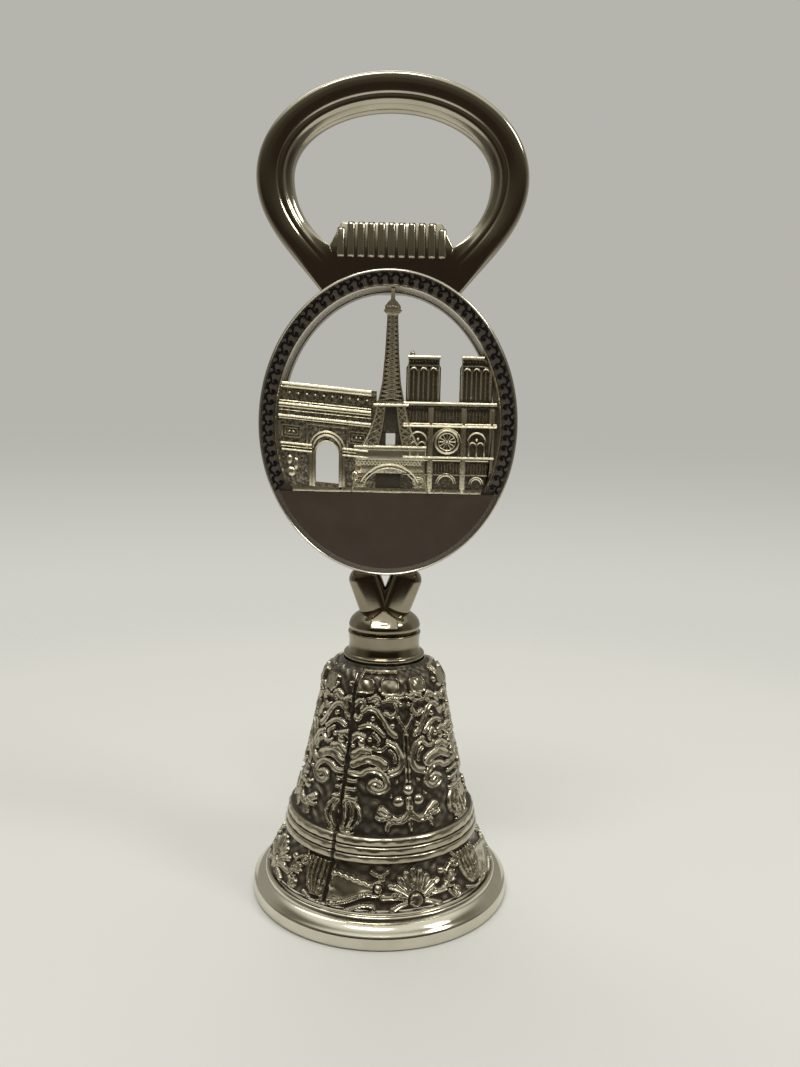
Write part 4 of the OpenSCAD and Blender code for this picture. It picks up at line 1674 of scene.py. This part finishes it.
def oval_sweep(name: str, half_w: float, half_h: float, centre: float, loop: Path,
               material: Material, span: Point = (0.0, 360.0), steps: int = 256,
               sharp: float = 50.0) -> Piece:
    """Sweeps a closed section round an upright oval.

    Args:
        name: The object's name.
        half_w: Half width of the oval.
        half_h: Half height of the oval.
        centre: Height of its centre.
        loop: Section as (inset from the oval, depth).
        material: Its finish.
        span: First and last angle in degrees, from the right and anticlockwise.
        steps: Sections round the oval.
        sharp: Angle past which an edge stays sharp.

    Returns:
        The swept ring, or an arc of it with closed ends.
    """
    whole = span[1] - span[0] >= 360
    angles = np.radians(np.linspace(*span, steps, endpoint=not whole))[:, None]
    inset, depth = np.array(loop, float).T
    verts = np.stack([(half_w - inset)[None, :] * np.cos(angles), np.repeat(depth[None, :], steps, 0),
                      centre + (half_h - inset)[None, :] * np.sin(angles)], -1)
    return tidy_normals(new_object(name, verts.reshape(-1, 3), tube_faces(steps, len(loop), whole), material, sharp))


# ---------------------------------------------------------------- medallion
@dataclass
class Medallion:
    """The oval rim with its enamel scrolls, and the skyline inside it."""

    band: float = 3.15
    scroll_count: int = 80
    street_drop: float = 11.4

    def __post_init__(self) -> None:
        """Reads the oval's size and place from the frame."""
        low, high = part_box("medallion_rim")
        self.a, self.b = high.x / MM, (high.z - low.z) / 2 / MM
        self.z = (low.z + high.z) / 2 / MM
        self.front = low.y / MM
        self.seat = -0.6
        self.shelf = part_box("skyline_plate")[1].y / MM

    def _rim(self, palette: Palette) -> Piece:
        """Full outer bead and back, with the patterned band above the street line.

        Args:
            palette: The finishes.

        Returns:
            The rim.
        """
        f, s = self.front, self.seat
        edge = [(0.0, s), (0.0, f + 0.55), (0.03, f + 0.25), (0.12, f + 0.06), (0.24, f), (0.36, f + 0.06),
                (0.45, f + 0.24),
                (0.47, f + 0.45), (0.5, self.shelf - 0.85), (1.2, self.shelf - 0.85), (1.2, self.shelf),
                (3.85, self.shelf), (3.85, s)]
        bead = oval_sweep("medallion_rim_bead", self.a, self.b, self.z, edge, palette.rim, (0, 360), 288)
        band = [(0.40, f + 0.42), (2.52, f + 0.40), (2.58, f + 0.20), (2.68, f + 0.05), (2.82, f + 0.04),
                (2.95, f + 0.18),
                (3.10, f + 0.55), (3.45, f + 1.02), (3.82, f + 1.35), (3.88, f + 1.6), (3.88, s - 0.2),
                (0.40, s - 0.2)]
        start = -degrees(asin((self.street_drop - 0.2) / self.b))
        arc = oval_sweep("rim_band", self.a, self.b, self.z, band, palette.rim, (start, 180 - start), 256)
        return joined("medallion_rim_cast", [bead, arc])

    def _scrolls(self, palette: Palette, tree: GeometryTree) -> Piece:
        """The black running scroll in the rim's band.

        Args:
            palette: The finishes.
            tree: What repeats a scroll.

        Returns:
            The scrolls.
        """
        around = pi * (3 * (self.a + self.b - 3) - sqrt((3 * self.a + self.b - 6) * (self.a + 3 * self.b - 6)))
        pitch = around / self.scroll_count
        x = np.linspace(-pitch / 2, pitch / 2, 17)
        wave = np.stack([x, -0.40 + 0.26 * np.cos(2 * np.pi * x / pitch)], 1)
        yard = Yard()
        yard.put(ribbon(wave, 0.42 - 0.10 * np.cos(2 * np.pi * x / pitch), 0.0, 0.16))
        yard.put(ribbon(bezier([(0.05, -0.25), (0.50, 0.15), (0.42, 0.72), (-0.12, 0.80)], 9),
                        np.linspace(0.30, 0.42, 9), -0.004, 0.16))
        yard.put(prism([(-0.20 + 0.30 * cos(a), 0.52 + 0.36 * sin(a)) for a in np.linspace(0, 5.76, 12)], -0.008,
                       0.16))
        yard.put(ribbon(bezier([(-0.70, -0.30), (-0.55, -0.75), (-0.20, -0.86)], 6), np.linspace(0.30, 0.20, 6),
                        -0.006, 0.16))
        unit = yard.piece("rim_scrolls", palette.black)
        inset = 1.50
        return tree.run(unit, {"Half Width": (self.a - inset) * MM, "Half Height": (self.b - inset) * MM,
                               "Count": self.scroll_count, "Lowest": -(self.street_drop - 0.7) * MM,
                               "Centre": (0.0, (self.front + 0.33) * MM, self.z * MM), "Material": palette.black})

    def make(self, palette: Palette, scrolls: GeometryTree) -> None:
        """Builds the rim and its pattern."""
        place_on(self._rim(palette), Body.BELL, "medallion_nickel", "medallion_rim")
        place_on(self._scrolls(palette, scrolls), Body.BELL, "black_enamel", "rim_enamel")


class Skyline:
    """The openwork city inside the oval: arch, lattice tower and cathedral, as layers of cut relief."""

    GROUND_DEPTH = 0.22
    RELIEF_DEPTH = 1.12
    ROSE = (10.0, -2.6)
    TOWER = ((-11.4, 6.6), (-4.4, 5.2), (-1.2, 3.7), (1.0, 2.9), (3.2, 2.4), (4.4, 2.1), (7.2, 1.55), (11.9, 1.17),
             (17.2, 0.93), (18.3, 0.9))

    def __init__(self, medallion: Medallion, palette: Palette, row: GeometryTree) -> None:
        """Takes the oval's place and the tree that repeats small parts.

        Args:
            medallion: The oval it sits in.
            palette: The finishes.
            row: What repeats small parts.
        """
        self.m, self.palette, self.row = medallion, palette, row
        self.back = medallion.shelf
        self.ground = self.back - self.GROUND_DEPTH
        self.top = self.back - self.RELIEF_DEPTH
        self.street = -medallion.street_drop
        self.seat_a, self.seat_b = medallion.a - medallion.band - 0.1, medallion.b - medallion.band - 0.1
        self.rows: list[Piece] = []
        self.yard, self.mouldings = Yard(), Yard()
        self.lean = self.lean_from = 0.0
        self.bases = 0

    def _leant(self, u: float | Array) -> float | Array:
        """How far the current building's level lines rise at a place, as they fall towards the right."""
        return self.lean * (self.lean_from - u)

    def _depth(self, share: float) -> float:
        """Depth of a layer: 0 is the plate's ground and 1 the highest relief."""
        return self.ground + (self.top - self.ground) * share

    def _clip(self, outline: Path) -> list[Point]:
        """Keeps points inside the oval seat.

        Args:
            outline: Points as (across, up).

        Returns:
            The outline with its points kept inside.
        """
        made = []
        for (u0, v0), (u1, v1) in zip(outline, [*outline[1:], outline[0]]):
            parts = max(1, int(hypot(u1 - u0, v1 - v0) / 1.4)) if max(abs(u0), abs(u1)) > 15.0 else 1
            for k in range(parts):
                u, v = u0 + (u1 - u0) * k / parts, v0 + (v1 - v0) * k / parts
                far = hypot(u / self.seat_a, v / self.seat_b)
                made.append((u, v) if far <= 1 else (u / far, v / far))
        return made

    def slab(self, outline: Path, share: float, base: bool = False) -> None:
        """Adds a plate of any outline.

        Args:
            outline: Points as (across, up).
            share: Height as a share of the relief.
            base: Whether it runs right through.
        """
        outline = [(u, v + self._leant(u)) for u, v in outline]
        self.bases += base
        back = self.back - 0.011 * self.bases if base else self.ground + 0.09
        verts, faces = prism(self._clip(outline), self._depth(share), back)
        verts[:, 2] += self.m.z
        self.yard.put((verts, faces))

    def block(self, u0: float, u1: float, v0: float, v1: float, share: float, base: bool = False) -> None:
        """Adds a rectangular block."""
        self.slab([(u0, v0), (u1, v0), (u1, v1), (u0, v1)], share, base)

    def bar(self, path: Path, width: float, share: float, fall: float = SHOULDER_FALL) -> None:
        """Adds a roof-shaped bar along a path.

        Args:
            path: Points along its middle.
            width: Its width.
            share: Height of its crest.
            fall: How far its shoulders lie behind the crest, as a share of the width.
        """
        path = np.asarray(path, float)
        path = path + np.stack([0 * path[:, 0], self._leant(path[:, 0])], 1)
        verts, faces = ridge(path, width * 1.15, self._depth(share), self.ground + 0.1, fall)
        verts[:, 2] += self.m.z
        self.mouldings.put((verts, faces))

    def line(self, u0: float, u1: float, v: float, width: float, share: float) -> None:
        """Adds a level moulding, cut off where it meets the oval."""
        reach = self.seat_a * sqrt(max(0.0, 1 - (v / self.seat_b) ** 2)) - 0.15
        self.bar([(max(u0, -reach), v), (min(u1, reach), v)], width, share)

    def arc_bar(self, centre: Point, radius: float, width: float, share: float, span: Point = (0, 180)) -> None:
        """Adds a moulding bent round a centre."""
        a = np.radians(np.linspace(*span, 20))
        self.bar(np.stack([centre[0] + radius * np.cos(a), centre[1] + radius * np.sin(a)], 1), width, share)

    def repeat(self, kind: Stud, start: Point, step: float, count: int, size: Point, share: float = 0.95) -> None:
        """Repeats a small round-faced part along a level line.

        Args:
            kind: DOT for a stud, POST for a half-round column.
            start: Centre of the first.
            step: Distance between centres.
            count: How many.
            size: Half width and half height.
            share: Height of its crest.
        """
        half_u, half_v = size
        rise = self._depth(0.0) + 0.12 - self._depth(share)
        verts, faces = [], []
        rings = [(1.0, 0.0), (0.92, 0.38), (0.70, 0.72), (0.38, 0.93)]
        sides = 12
        for shrink, lift in rings:
            for k in range(sides):
                a = 2 * pi * k / sides
                cu, cv = cos(a), sin(a)
                if kind is Stud.POST:
                    p = 0.35
                    cv = copysign(abs(cv) ** p, cv)
                    verts.append((cu * half_u * shrink, -rise * lift, cv * (half_v - half_u * (1 - shrink))))
                else:
                    verts.append((cu * half_u * shrink, -rise * lift, cv * half_v * shrink))
        for r in range(len(rings) - 1):
            faces += [[r * sides + k, r * sides + (k + 1) % sides, (r + 1) * sides + (k + 1) % sides, (r + 1) * sides
                       + k]
                      for k in range(sides)]
        faces += [list(range(sides))[::-1], [(len(rings) - 1) * sides + k for k in range(sides)]]
        unit = tidy_normals(new_object(f"row_{len(self.rows)}", np.array(verts), faces, self.palette.medallion, 70))
        base = (self._depth(0.0) + 0.12) * MM
        self.rows.append(self.row.run(unit, {
            "Count": count, "Start": (start[0] * MM, base, (start[1] + self._leant(start[0]) + self.m.z) * MM),
            "Step": (step * MM, 0.0, -self.lean * step * MM),
            "Material": self.palette.medallion}))

    def _arch(self) -> None:
        """The triumphal arch on the left."""
        s, top, axis, r, spring = self.street, 5.65, -10.2, 1.95, -5.7
        self.lean, self.lean_from = 0.085, -2.4
        a = np.radians(np.linspace(180, 0, 17))
        opening = [(axis + r * cos(t), spring + r * sin(t)) for t in a]
        left = [(-18.9, s - 1.6), (axis - r, s - 1.6), *opening[:9], (axis, top - 0.5), (-18.9, top - 0.5)]
        right = [(axis, top - 0.5), *opening[8:], (axis + r, s - 1.6), (-2.0, s - 1.6), (-2.0, top - 0.5)]
        self.slab(left, 0.25, True)
        self.slab(right, 0.25, True)
        self.block(axis - r - 0.2, axis + r + 0.2, s, s + 0.8, 0.3)
        self.block(-18.6, -2.0, top - 0.62, top, 0.85, True)
        self.block(-18.6, -2.4, top - 0.95, top - 0.7, 0.55)
        self.repeat(Stud.DOT, (-16.6, 3.95), 1.44, 10, (0.30, 0.26))
        self.repeat(Stud.POST, (-17.0, 3.95), 1.44, 11, (0.14, 0.55), 0.6)
        self.repeat(Stud.DOT, (-17.2, 2.98), 0.52, 29, (0.17, 0.14), 0.75)
        for v, thick, share in ((2.05, 0.36, 0.98), (1.55, 0.18, 0.5), (0.05, 0.34, 1.0), (-0.38, 0.16, 0.45),
                                (2.55, 0.16, 0.55),
                                (top - 0.20, 0.42, 1.0), (top - 0.75, 0.26, 0.8), (1.0, 0.14, 0.4)):
            self.line(-18.6, -2.9, v, thick, share)
        for centre, half in ((-16.3, 1.5), (-5.0, 1.5)):
            self._panel(centre, -2.45, half, 0.95)
        self.slab([(axis - 3.5, -0.75), (axis + 3.5, -0.75), (axis + 3.5, -1.1), (axis - 3.5, -1.1)], 0.6)
        for side in (-1, 1):
            self.block(*sorted((axis + side * 3.55, axis + side * 3.25)), -5.2, -0.75, 0.62)
        for radius, thick, share in ((3.05, 0.30, 0.75), (2.45, 0.34, 0.95)):
            self.arc_bar((axis, -4.95), radius * 0.98, thick, share)
        self.arc_bar((axis, spring), r + 0.18, 0.30, 0.5)
        for v, thick, share in ((-4.5, 0.32, 1.0), (-5.05, 0.14, 0.55), (-5.6, 0.26, 0.85)):
            for u0, u1 in ((-18.6, axis - 2.6), (axis + 2.6, -3.3)):
                self.line(u0, u1, v, thick, share)
        for side in (-1, 1):
            self.block(*sorted((axis + side * 2.0, axis + side * 2.5)), s, -5.2, 0.7)
            self.block(*sorted((axis + side * 2.6, axis + side * 3.0)), s, -5.8, 0.45)
        for k, (u, v, w, h) in enumerate(((-16.6, -7.3, 0.62, 1.0), (-15.5, -7.9, 0.5, 1.3), (-16.3, -9.3, 0.9, 1.0),
                                          (-4.8, -7.6, 0.6, 1.1), (-5.5, -9.0, 0.7, 1.1))):
            self.repeat(Stud.DOT, (u, v), 0.0, 1, (w, h), 0.7 - 0.05 * (k % 2))
        self.lean = 0.0

    def _panel(self, u: float, v: float, half_u: float, half_v: float) -> None:
        """A sunk panel with a raised border.

        Args:
            u: Middle across.
            v: Middle up.
            half_u: Half width.
            half_v: Half height.
        """
        for grow, share in ((0.0, 0.75), (-0.45, 0.5)):
            hu, hv = half_u + grow, half_v + grow
            for side in (-1, 1):
                self.block(u - hu, u + hu, v + side * hv - 0.08, v + side * hv + 0.08, share)
                self.block(u + side * hu - 0.08, u + side * hu + 0.08, v - hv, v + hv, share)
        self.repeat(Stud.DOT, (u - 0.35, v), 0.7, 2, (0.28, 0.22), 0.55)

    def _tower_half(self, v: float) -> float:
        """Half width of the lattice tower at a height."""
        return float(np.interp(v, *zip(*self.TOWER)))

    def _tower(self) -> None:
        """The lattice tower in the middle, whose mast touches the rim."""
        c = 0.45
        self.block(c - 5.0, c + 4.6, self.street, -7.6, 0.08, True)
        levels = np.linspace(18.3, 3.6, 16)
        self.slab([(c + self._tower_half(v), v) for v in levels]
                  + [(c - self._tower_half(v), v) for v in levels[::-1]], 0.16, True)
        lower = np.linspace(3.6, -4.0, 9)
        for side in (-1, 1):
            inner = [(c + side * max(0.8, self._tower_half(v) * 0.42), v) for v in lower]
            outer = [(c + side * self._tower_half(v), v) for v in lower]
            self.slab(outer + inner[::-1], 0.28, True)
        self.block(c - 1.9, c + 1.9, -1.35, 3.6, 0.15)
        self.block(c - 2.0, c - 0.8, -4.0, -1.2, 0.15)
        self.block(c + 0.8, c + 2.0, -4.0, -1.2, 0.15)
        cells = np.linspace(18.1, 4.2, 20)
        for high, low in zip(cells[:-1], cells[1:]):
            wh, wl = self._tower_half(high) * 0.86, self._tower_half(low) * 0.86
            for side in (-1, 1):
                self.bar([(c - side * wh, high), (c + side * wl, low)], 0.20, 0.52, 0.12)
            self.bar([(c - wh, high), (c + wh, high)], 0.16, 0.42, 0.12)
        for side in (-1, 1):
            self.bar([(c + side * (self._tower_half(v) - 0.12), v) for v in np.linspace(18.3, 3.8, 14)], 0.24, 0.8,
                     0.16)
            self.bar([(c + side * (self._tower_half(v) - 0.14), v) for v in np.linspace(3.2, -3.6, 10)], 0.28, 0.98)
            self.bar([(c + side * max(0.9, self._tower_half(v) * 0.44), v) for v in np.linspace(3.2, -3.6, 10)], 0.22,
                     0.9)
            for high, low in zip(np.linspace(3.0, -2.6, 6), np.linspace(1.9, -3.6, 6)):
                a0, a1 = self._tower_half(high) * 0.45, self._tower_half(high) * 0.9
                b0, b1 = self._tower_half(low) * 0.45, self._tower_half(low) * 0.9
                self.bar([(c + side * a0, high), (c + side * b1, low)], 0.18, 0.60, 0.13)
                self.bar([(c + side * a1, high), (c + side * b0, low)], 0.18, 0.60, 0.13)
        self.block(c - 2.95, c + 2.95, 3.15, 3.62, 0.8)
        self.line(c - 2.95, c + 2.95, 3.45, 0.3, 1.0)
        self.block(c - 2.5, c + 2.5, 3.72, 4.05, 0.7)
        self.slab([(c - 1.3, 18.6), (c - 0.75, 18.2), (c + 0.75, 18.2), (c + 1.3, 18.6), (c + 1.3, 19.6),
                   (c + 0.85, 20.2), (c + 0.35, 20.7),
                   (c + 0.3, 22.6), (c - 0.3, 22.6), (c - 0.35, 20.7), (c - 0.85, 20.2), (c - 1.3, 19.6)], 0.9)
        self.block(c - 1.5, c + 1.5, 18.75, 19.0, 1.0)
        self.repeat(Stud.DOT, (c - 0.9, 19.5), 0.45, 5, (0.16, 0.3), 1.0)
        self.block(c - 6.1, c + 6.1, -4.25, -3.45, 0.85)
        self.line(c - 6.1, c + 6.1, -3.6, 0.32, 1.0)
        self.repeat(Stud.DOT, (c - 5.8, -3.35), 0.5, 24, (0.15, 0.18), 0.95)
        self.block(c - 5.75, c + 5.75, -5.9, -4.3, 0.74, True)
        self.block(c - 5.9, c + 5.9, -8.1, -5.95, 0.4, True)
        for k in range(20):
            u = c - 5.6 + 0.56 * k
            for side in (-1, 1):
                self.bar([(u - side * 0.28, -6.0), (u + side * 0.28, -6.75)], 0.14, 0.8)
        self.arc_bar((c, -12.2), 5.6, 0.34, 0.9, (28, 152))
        self.arc_bar((c, -12.2), 5.0, 0.22, 0.7, (28, 152))
        for side in (-1, 1):
            self.slab([(c + side * 5.9, -8.1), (c + side * 3.6, -8.1), (c + side * 4.4, self.street),
                       (c + side * 6.6, self.street)], 0.45)
            self.bar([(c + side * 5.9, -8.1), (c + side * 6.4, self.street)], 0.3, 0.9)
            for v in np.linspace(-8.3, -10.6, 4):
                self.bar([(c + side * 3.9, v), (c + side * 6.0, v - 0.6)], 0.16, 0.7, 0.13)
                self.bar([(c + side * 6.0, v), (c + side * 3.9, v - 0.6)], 0.16, 0.7, 0.13)

    def _cathedral(self) -> None:
        """The two-towered cathedral on the right."""
        s = self.street
        self.block(2.2, 18.9, s - 0.3, 3.7, 0.19, True)
        for u0, u1 in ((2.9, 8.7), (11.9, 17.4)):
            self.slab([(u0, 3.0), (u1, 3.0), (u1, 9.7), (u1 - 0.25, 10.2), (u1 - 0.25, 11.5), (u0 + 0.35, 11.5),
                       (u0 + 0.35, 10.2), (u0, 9.7)], 0.15, True)
            self.block(u0 + 0.25, u1 - 0.15, 11.1, 11.65, 0.8)
            self.line(u0 + 0.25, u1 - 0.15, 11.5, 0.28, 1.0)
            self.repeat(Stud.DOT, (u0 + 0.6, 10.75), 0.52, int((u1 - u0 - 0.6) / 0.52), (0.17, 0.2), 0.85)
            self.block(u0 + 0.2, u1 - 0.2, 9.95, 10.15, 0.65)
            wide = (u1 - u0) / 7
            for k in range(7):
                tall = 3.0 if k in (0, 6) else 2.75
                self.repeat(Stud.POST, (u0 + wide * (k + 0.5), 4.1 + tall), 0.0, 1,
                            (wide * (0.34, 0.2, 0.28, 0.2, 0.28, 0.2, 0.34)[k], tall),
                            (0.95, 0.5, 0.8, 0.55, 0.8, 0.5, 0.95)[k])
            for k in (1.5, 3.5, 5.5):
                self.arc_bar((u0 + wide * k, 9.15), wide * 0.62, 0.2, 0.75)
        self.repeat(Stud.DOT, (3.9, 11.95), 0.0, 1, (0.42, 0.5), 0.5)
        self.block(2.6, 18.3, 3.45, 3.95, 0.8)
        for v, thick, share in ((3.85, 0.30, 1.0), (0.39, 0.20, 0.7), (0.0, 0.34, 1.0), (-5.25, 0.34, 1.0),
                                (-5.75, 0.18, 0.6)):
            self.line(2.6, 18.3, v, thick, share)
        self.repeat(Stud.DOT, (3.0, 3.05), 0.42, 36, (0.13, 0.16), 0.7)
        self.repeat(Stud.POST, (3.1, 1.6), 0.56, 27, (0.16, 0.92), 0.72)
        for u in (7.2, 12.75, 17.5):
            self.block(u - 0.42, u + 0.42, s, 3.1, 0.62)
            self.block(u - 0.22, u + 0.22, s, 2.9, 0.88)
        for radius, thick, share in ((1.95, 0.34, 0.95), (1.45, 0.16, 0.6)):
            self.arc_bar(self.ROSE, radius, thick, share, (0, 360))
        for k in range(12):
            a = radians(30 * k)
            self.bar([(self.ROSE[0] + r * cos(a), self.ROSE[1] + r * sin(a)) for r in (0.35, 1.5)], 0.12, 0.6)
        self.repeat(Stud.DOT, self.ROSE, 0.0, 1, (0.38, 0.38), 0.7)
        self.arc_bar((10.0, -2.75), 2.4, 0.2, 0.7)
        for u in (15.0, 5.1):
            self.arc_bar((u, -2.5), 1.5, 0.26, 0.92)
            self.arc_bar((u - 0.65, -3.2), 0.55, 0.18, 0.7)
            self.arc_bar((u + 0.65, -3.2), 0.55, 0.18, 0.7)
            for du in (-1.4, -0.1, 1.2):
                self.block(u + du, u + du + 0.22, -5.0, -2.6, 0.78)
            self.repeat(Stud.DOT, (u, -2.2), 0.0, 1, (0.34, 0.34), 0.8)
        self.repeat(Stud.POST, (6.2, -7.1), 0.5, 25, (0.15, 0.9), 0.7)
        self.block(2.6, 18.3, -8.25, -8.0, 0.8)
        for u, wide in ((9.95, 1.7), (15.1, 1.2), (5.3, 1.0)):
            for grow, share in ((0.0, 0.8), (-0.35, 0.55)):
                self.arc_bar((u, -9.7), wide + grow, 0.2, share)

    def make(self) -> None:
        """Builds the whole plate as one casting, with its repeated parts."""
        self._arch()
        self._tower()
        self._cathedral()
        self.block(-16.0, 16.0, self.street + 0.02, self.street + 0.75, 0.7)
        for piece in (self.yard.piece("skyline_cast", self.palette.medallion, 0.085, 2, 40),
                      self.mouldings.piece("skyline_tracery", self.palette.medallion, 0.0, 1, 50)):
            place_on(piece, Body.BELL, "medallion_nickel", "skyline_plate")
        trim = joined("skyline_trim", self.rows)
        place_on(trim, Body.BELL, "medallion_nickel", "skyline_plate")


# ---------------------------------------------------------------- studio
@dataclass
class Studio:
    """Floor, light and camera."""

    floor_half: float = 0.26
    distance: float = 0.1595
    camera_height: float = 0.0867
    aside: float = 0.0024
    pitch: float = 8.0
    roll: float = 1.2
    lens: float = 31.18

    def floor(self, palette: Palette) -> None:
        """A round pale sheet under the bell.

        Args:
            palette: The finishes.
        """
        sides = 96
        verts = [[cos(2 * pi * k / sides) * self.floor_half / MM, sin(2 * pi * k / sides) * self.floor_half / MM,
                  -0.02]
                 for k in range(sides)]
        new_object("pale_floor", np.array(verts), [list(range(sides))], palette.floor)

    def lamps(self) -> None:
        """Soft overhead panels."""
        for name, place, size, power, colour in (
                ("overhead_front", (-0.06, -0.22, 0.60), (0.26, 0.09), 0.85, (1.0, 0.99, 0.94)),
                ("overhead_right", (0.34, -0.16, 0.42), (0.12, 0.12), 0.45, (1.0, 0.98, 0.90)),
                ("overhead_back", (-0.10, 0.32, 0.66), (0.5, 0.25), 0.8, (1.0, 0.99, 0.97))):
            lamp = bpy.data.lights.new(name, "AREA")
            lamp.shape, lamp.size, lamp.size_y = "RECTANGLE", size[0], size[1]
            lamp.energy, lamp.color = power, colour
            holder = bpy.data.objects.new(name, lamp)
            holder.location = place
            holder.rotation_euler = (Vector((0, 0, 0.06)) - Vector(place)).to_track_quat("-Z", "Y").to_euler()
            bpy.context.scene.collection.objects.link(holder)

    def room(self) -> None:
        """A plain pale room: bright above, pale behind, dim and warm in front."""
        world = bpy.data.worlds.new("plain_room")
        bpy.context.scene.world = world
        world.use_nodes = True
        t = ShaderTree(world.node_tree)
        way = t.add("ShaderNodeTexCoord", out="Generated")
        side, depth, rise = (t.axis(way, k) for k in range(3))
        wall = t.blend(t.ramp(rise, -0.20, -0.02), (0.63, 0.63, 0.58), (0.465, 0.455, 0.42))
        dim = t.blend(t.ramp(rise, 0.12, 0.55), (0.036, 0.026, 0.019), (0.130, 0.120, 0.088))
        dim = t.blend(t.ramp(rise, -0.06, -0.40), dim, (0.13, 0.12, 0.10))
        flank = t.ramp(side * side, 0.40, 0.92)
        front = t.ramp(depth, 0.40, -0.05)
        walls = t.blend(front, (0.34, 0.33, 0.29), t.blend(flank * 0.55, dim, (0.26, 0.25, 0.21)))
        seen = t.blend(t.ramp(rise, 0.58, 0.88), walls, (0.88, 0.87, 0.80))
        ray = t.add("ShaderNodeLightPath", out="Is Camera Ray")
        shown = t.blend(ray, seen, wall)
        light = t.add("ShaderNodeBackground", {}, {"Color": shown, "Strength": 1.0})
        t.add("ShaderNodeOutputWorld", {}, {0: light})

    def camera(self) -> None:
        """The camera, a little above the medallion's middle and tipped down."""
        data = bpy.data.cameras.new("front_camera")
        data.lens, data.sensor_width, data.sensor_fit = self.lens, 36.0, "AUTO"
        data.clip_start, data.clip_end = 0.01, 10.0
        camera = bpy.data.objects.new("front_camera", data)
        tilt = Matrix.Rotation(radians(90 - self.pitch), 4, "X")
        camera.matrix_world = Matrix.Translation((self.aside, -self.distance, self.camera_height)) @ tilt @ \
            Matrix.Rotation(radians(self.roll), 4, "Z")
        bpy.context.scene.collection.objects.link(camera)
        bpy.context.scene.camera = camera
        bpy.context.scene.view_settings.view_transform = "Standard"

    def make(self, palette: Palette) -> None:
        """Sets up everything round the object.

        Args:
            palette: The finishes.
        """
        self.floor(palette)
        self.lamps()
        self.room()
        self.camera()


def dress_cad_nodes(palette: Palette) -> None:
    """Gives the CAD nodes that stay their finish.

    Args:
        palette: The finishes.
    """
    finishes = {"name_panel": palette.brown, "hanger_stud": palette.steel, "crown_washer": palette.steel,
                "crown_nut": palette.steel, "clapper_link": palette.steel, "clapper_wire": palette.steel,
                "clapper_ball": palette.steel}
    for node, finish in finishes.items():
        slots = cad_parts[node].material_slots
        for slot in slots:
            slot.material = finish
        LOG.info("%s keeps its CAD shape with %s", node, finish.name)


def main() -> None:
    """Builds the object and its studio."""
    logging.basicConfig(level=logging.INFO, format="%(name)s: %(message)s")
    palette = Palette()
    row, ribs, scrolls = row_tree(), rib_tree(), oval_tree()
    BellSkin().make(palette)
    Neck().make(palette)
    OpenerHandle().make(palette, ribs)
    medallion = Medallion()
    medallion.make(palette, scrolls)
    Skyline(medallion, palette, row).make()
    dress_cad_nodes(palette)
    Studio().make(palette)


if __name__ == "__main__":
    main()
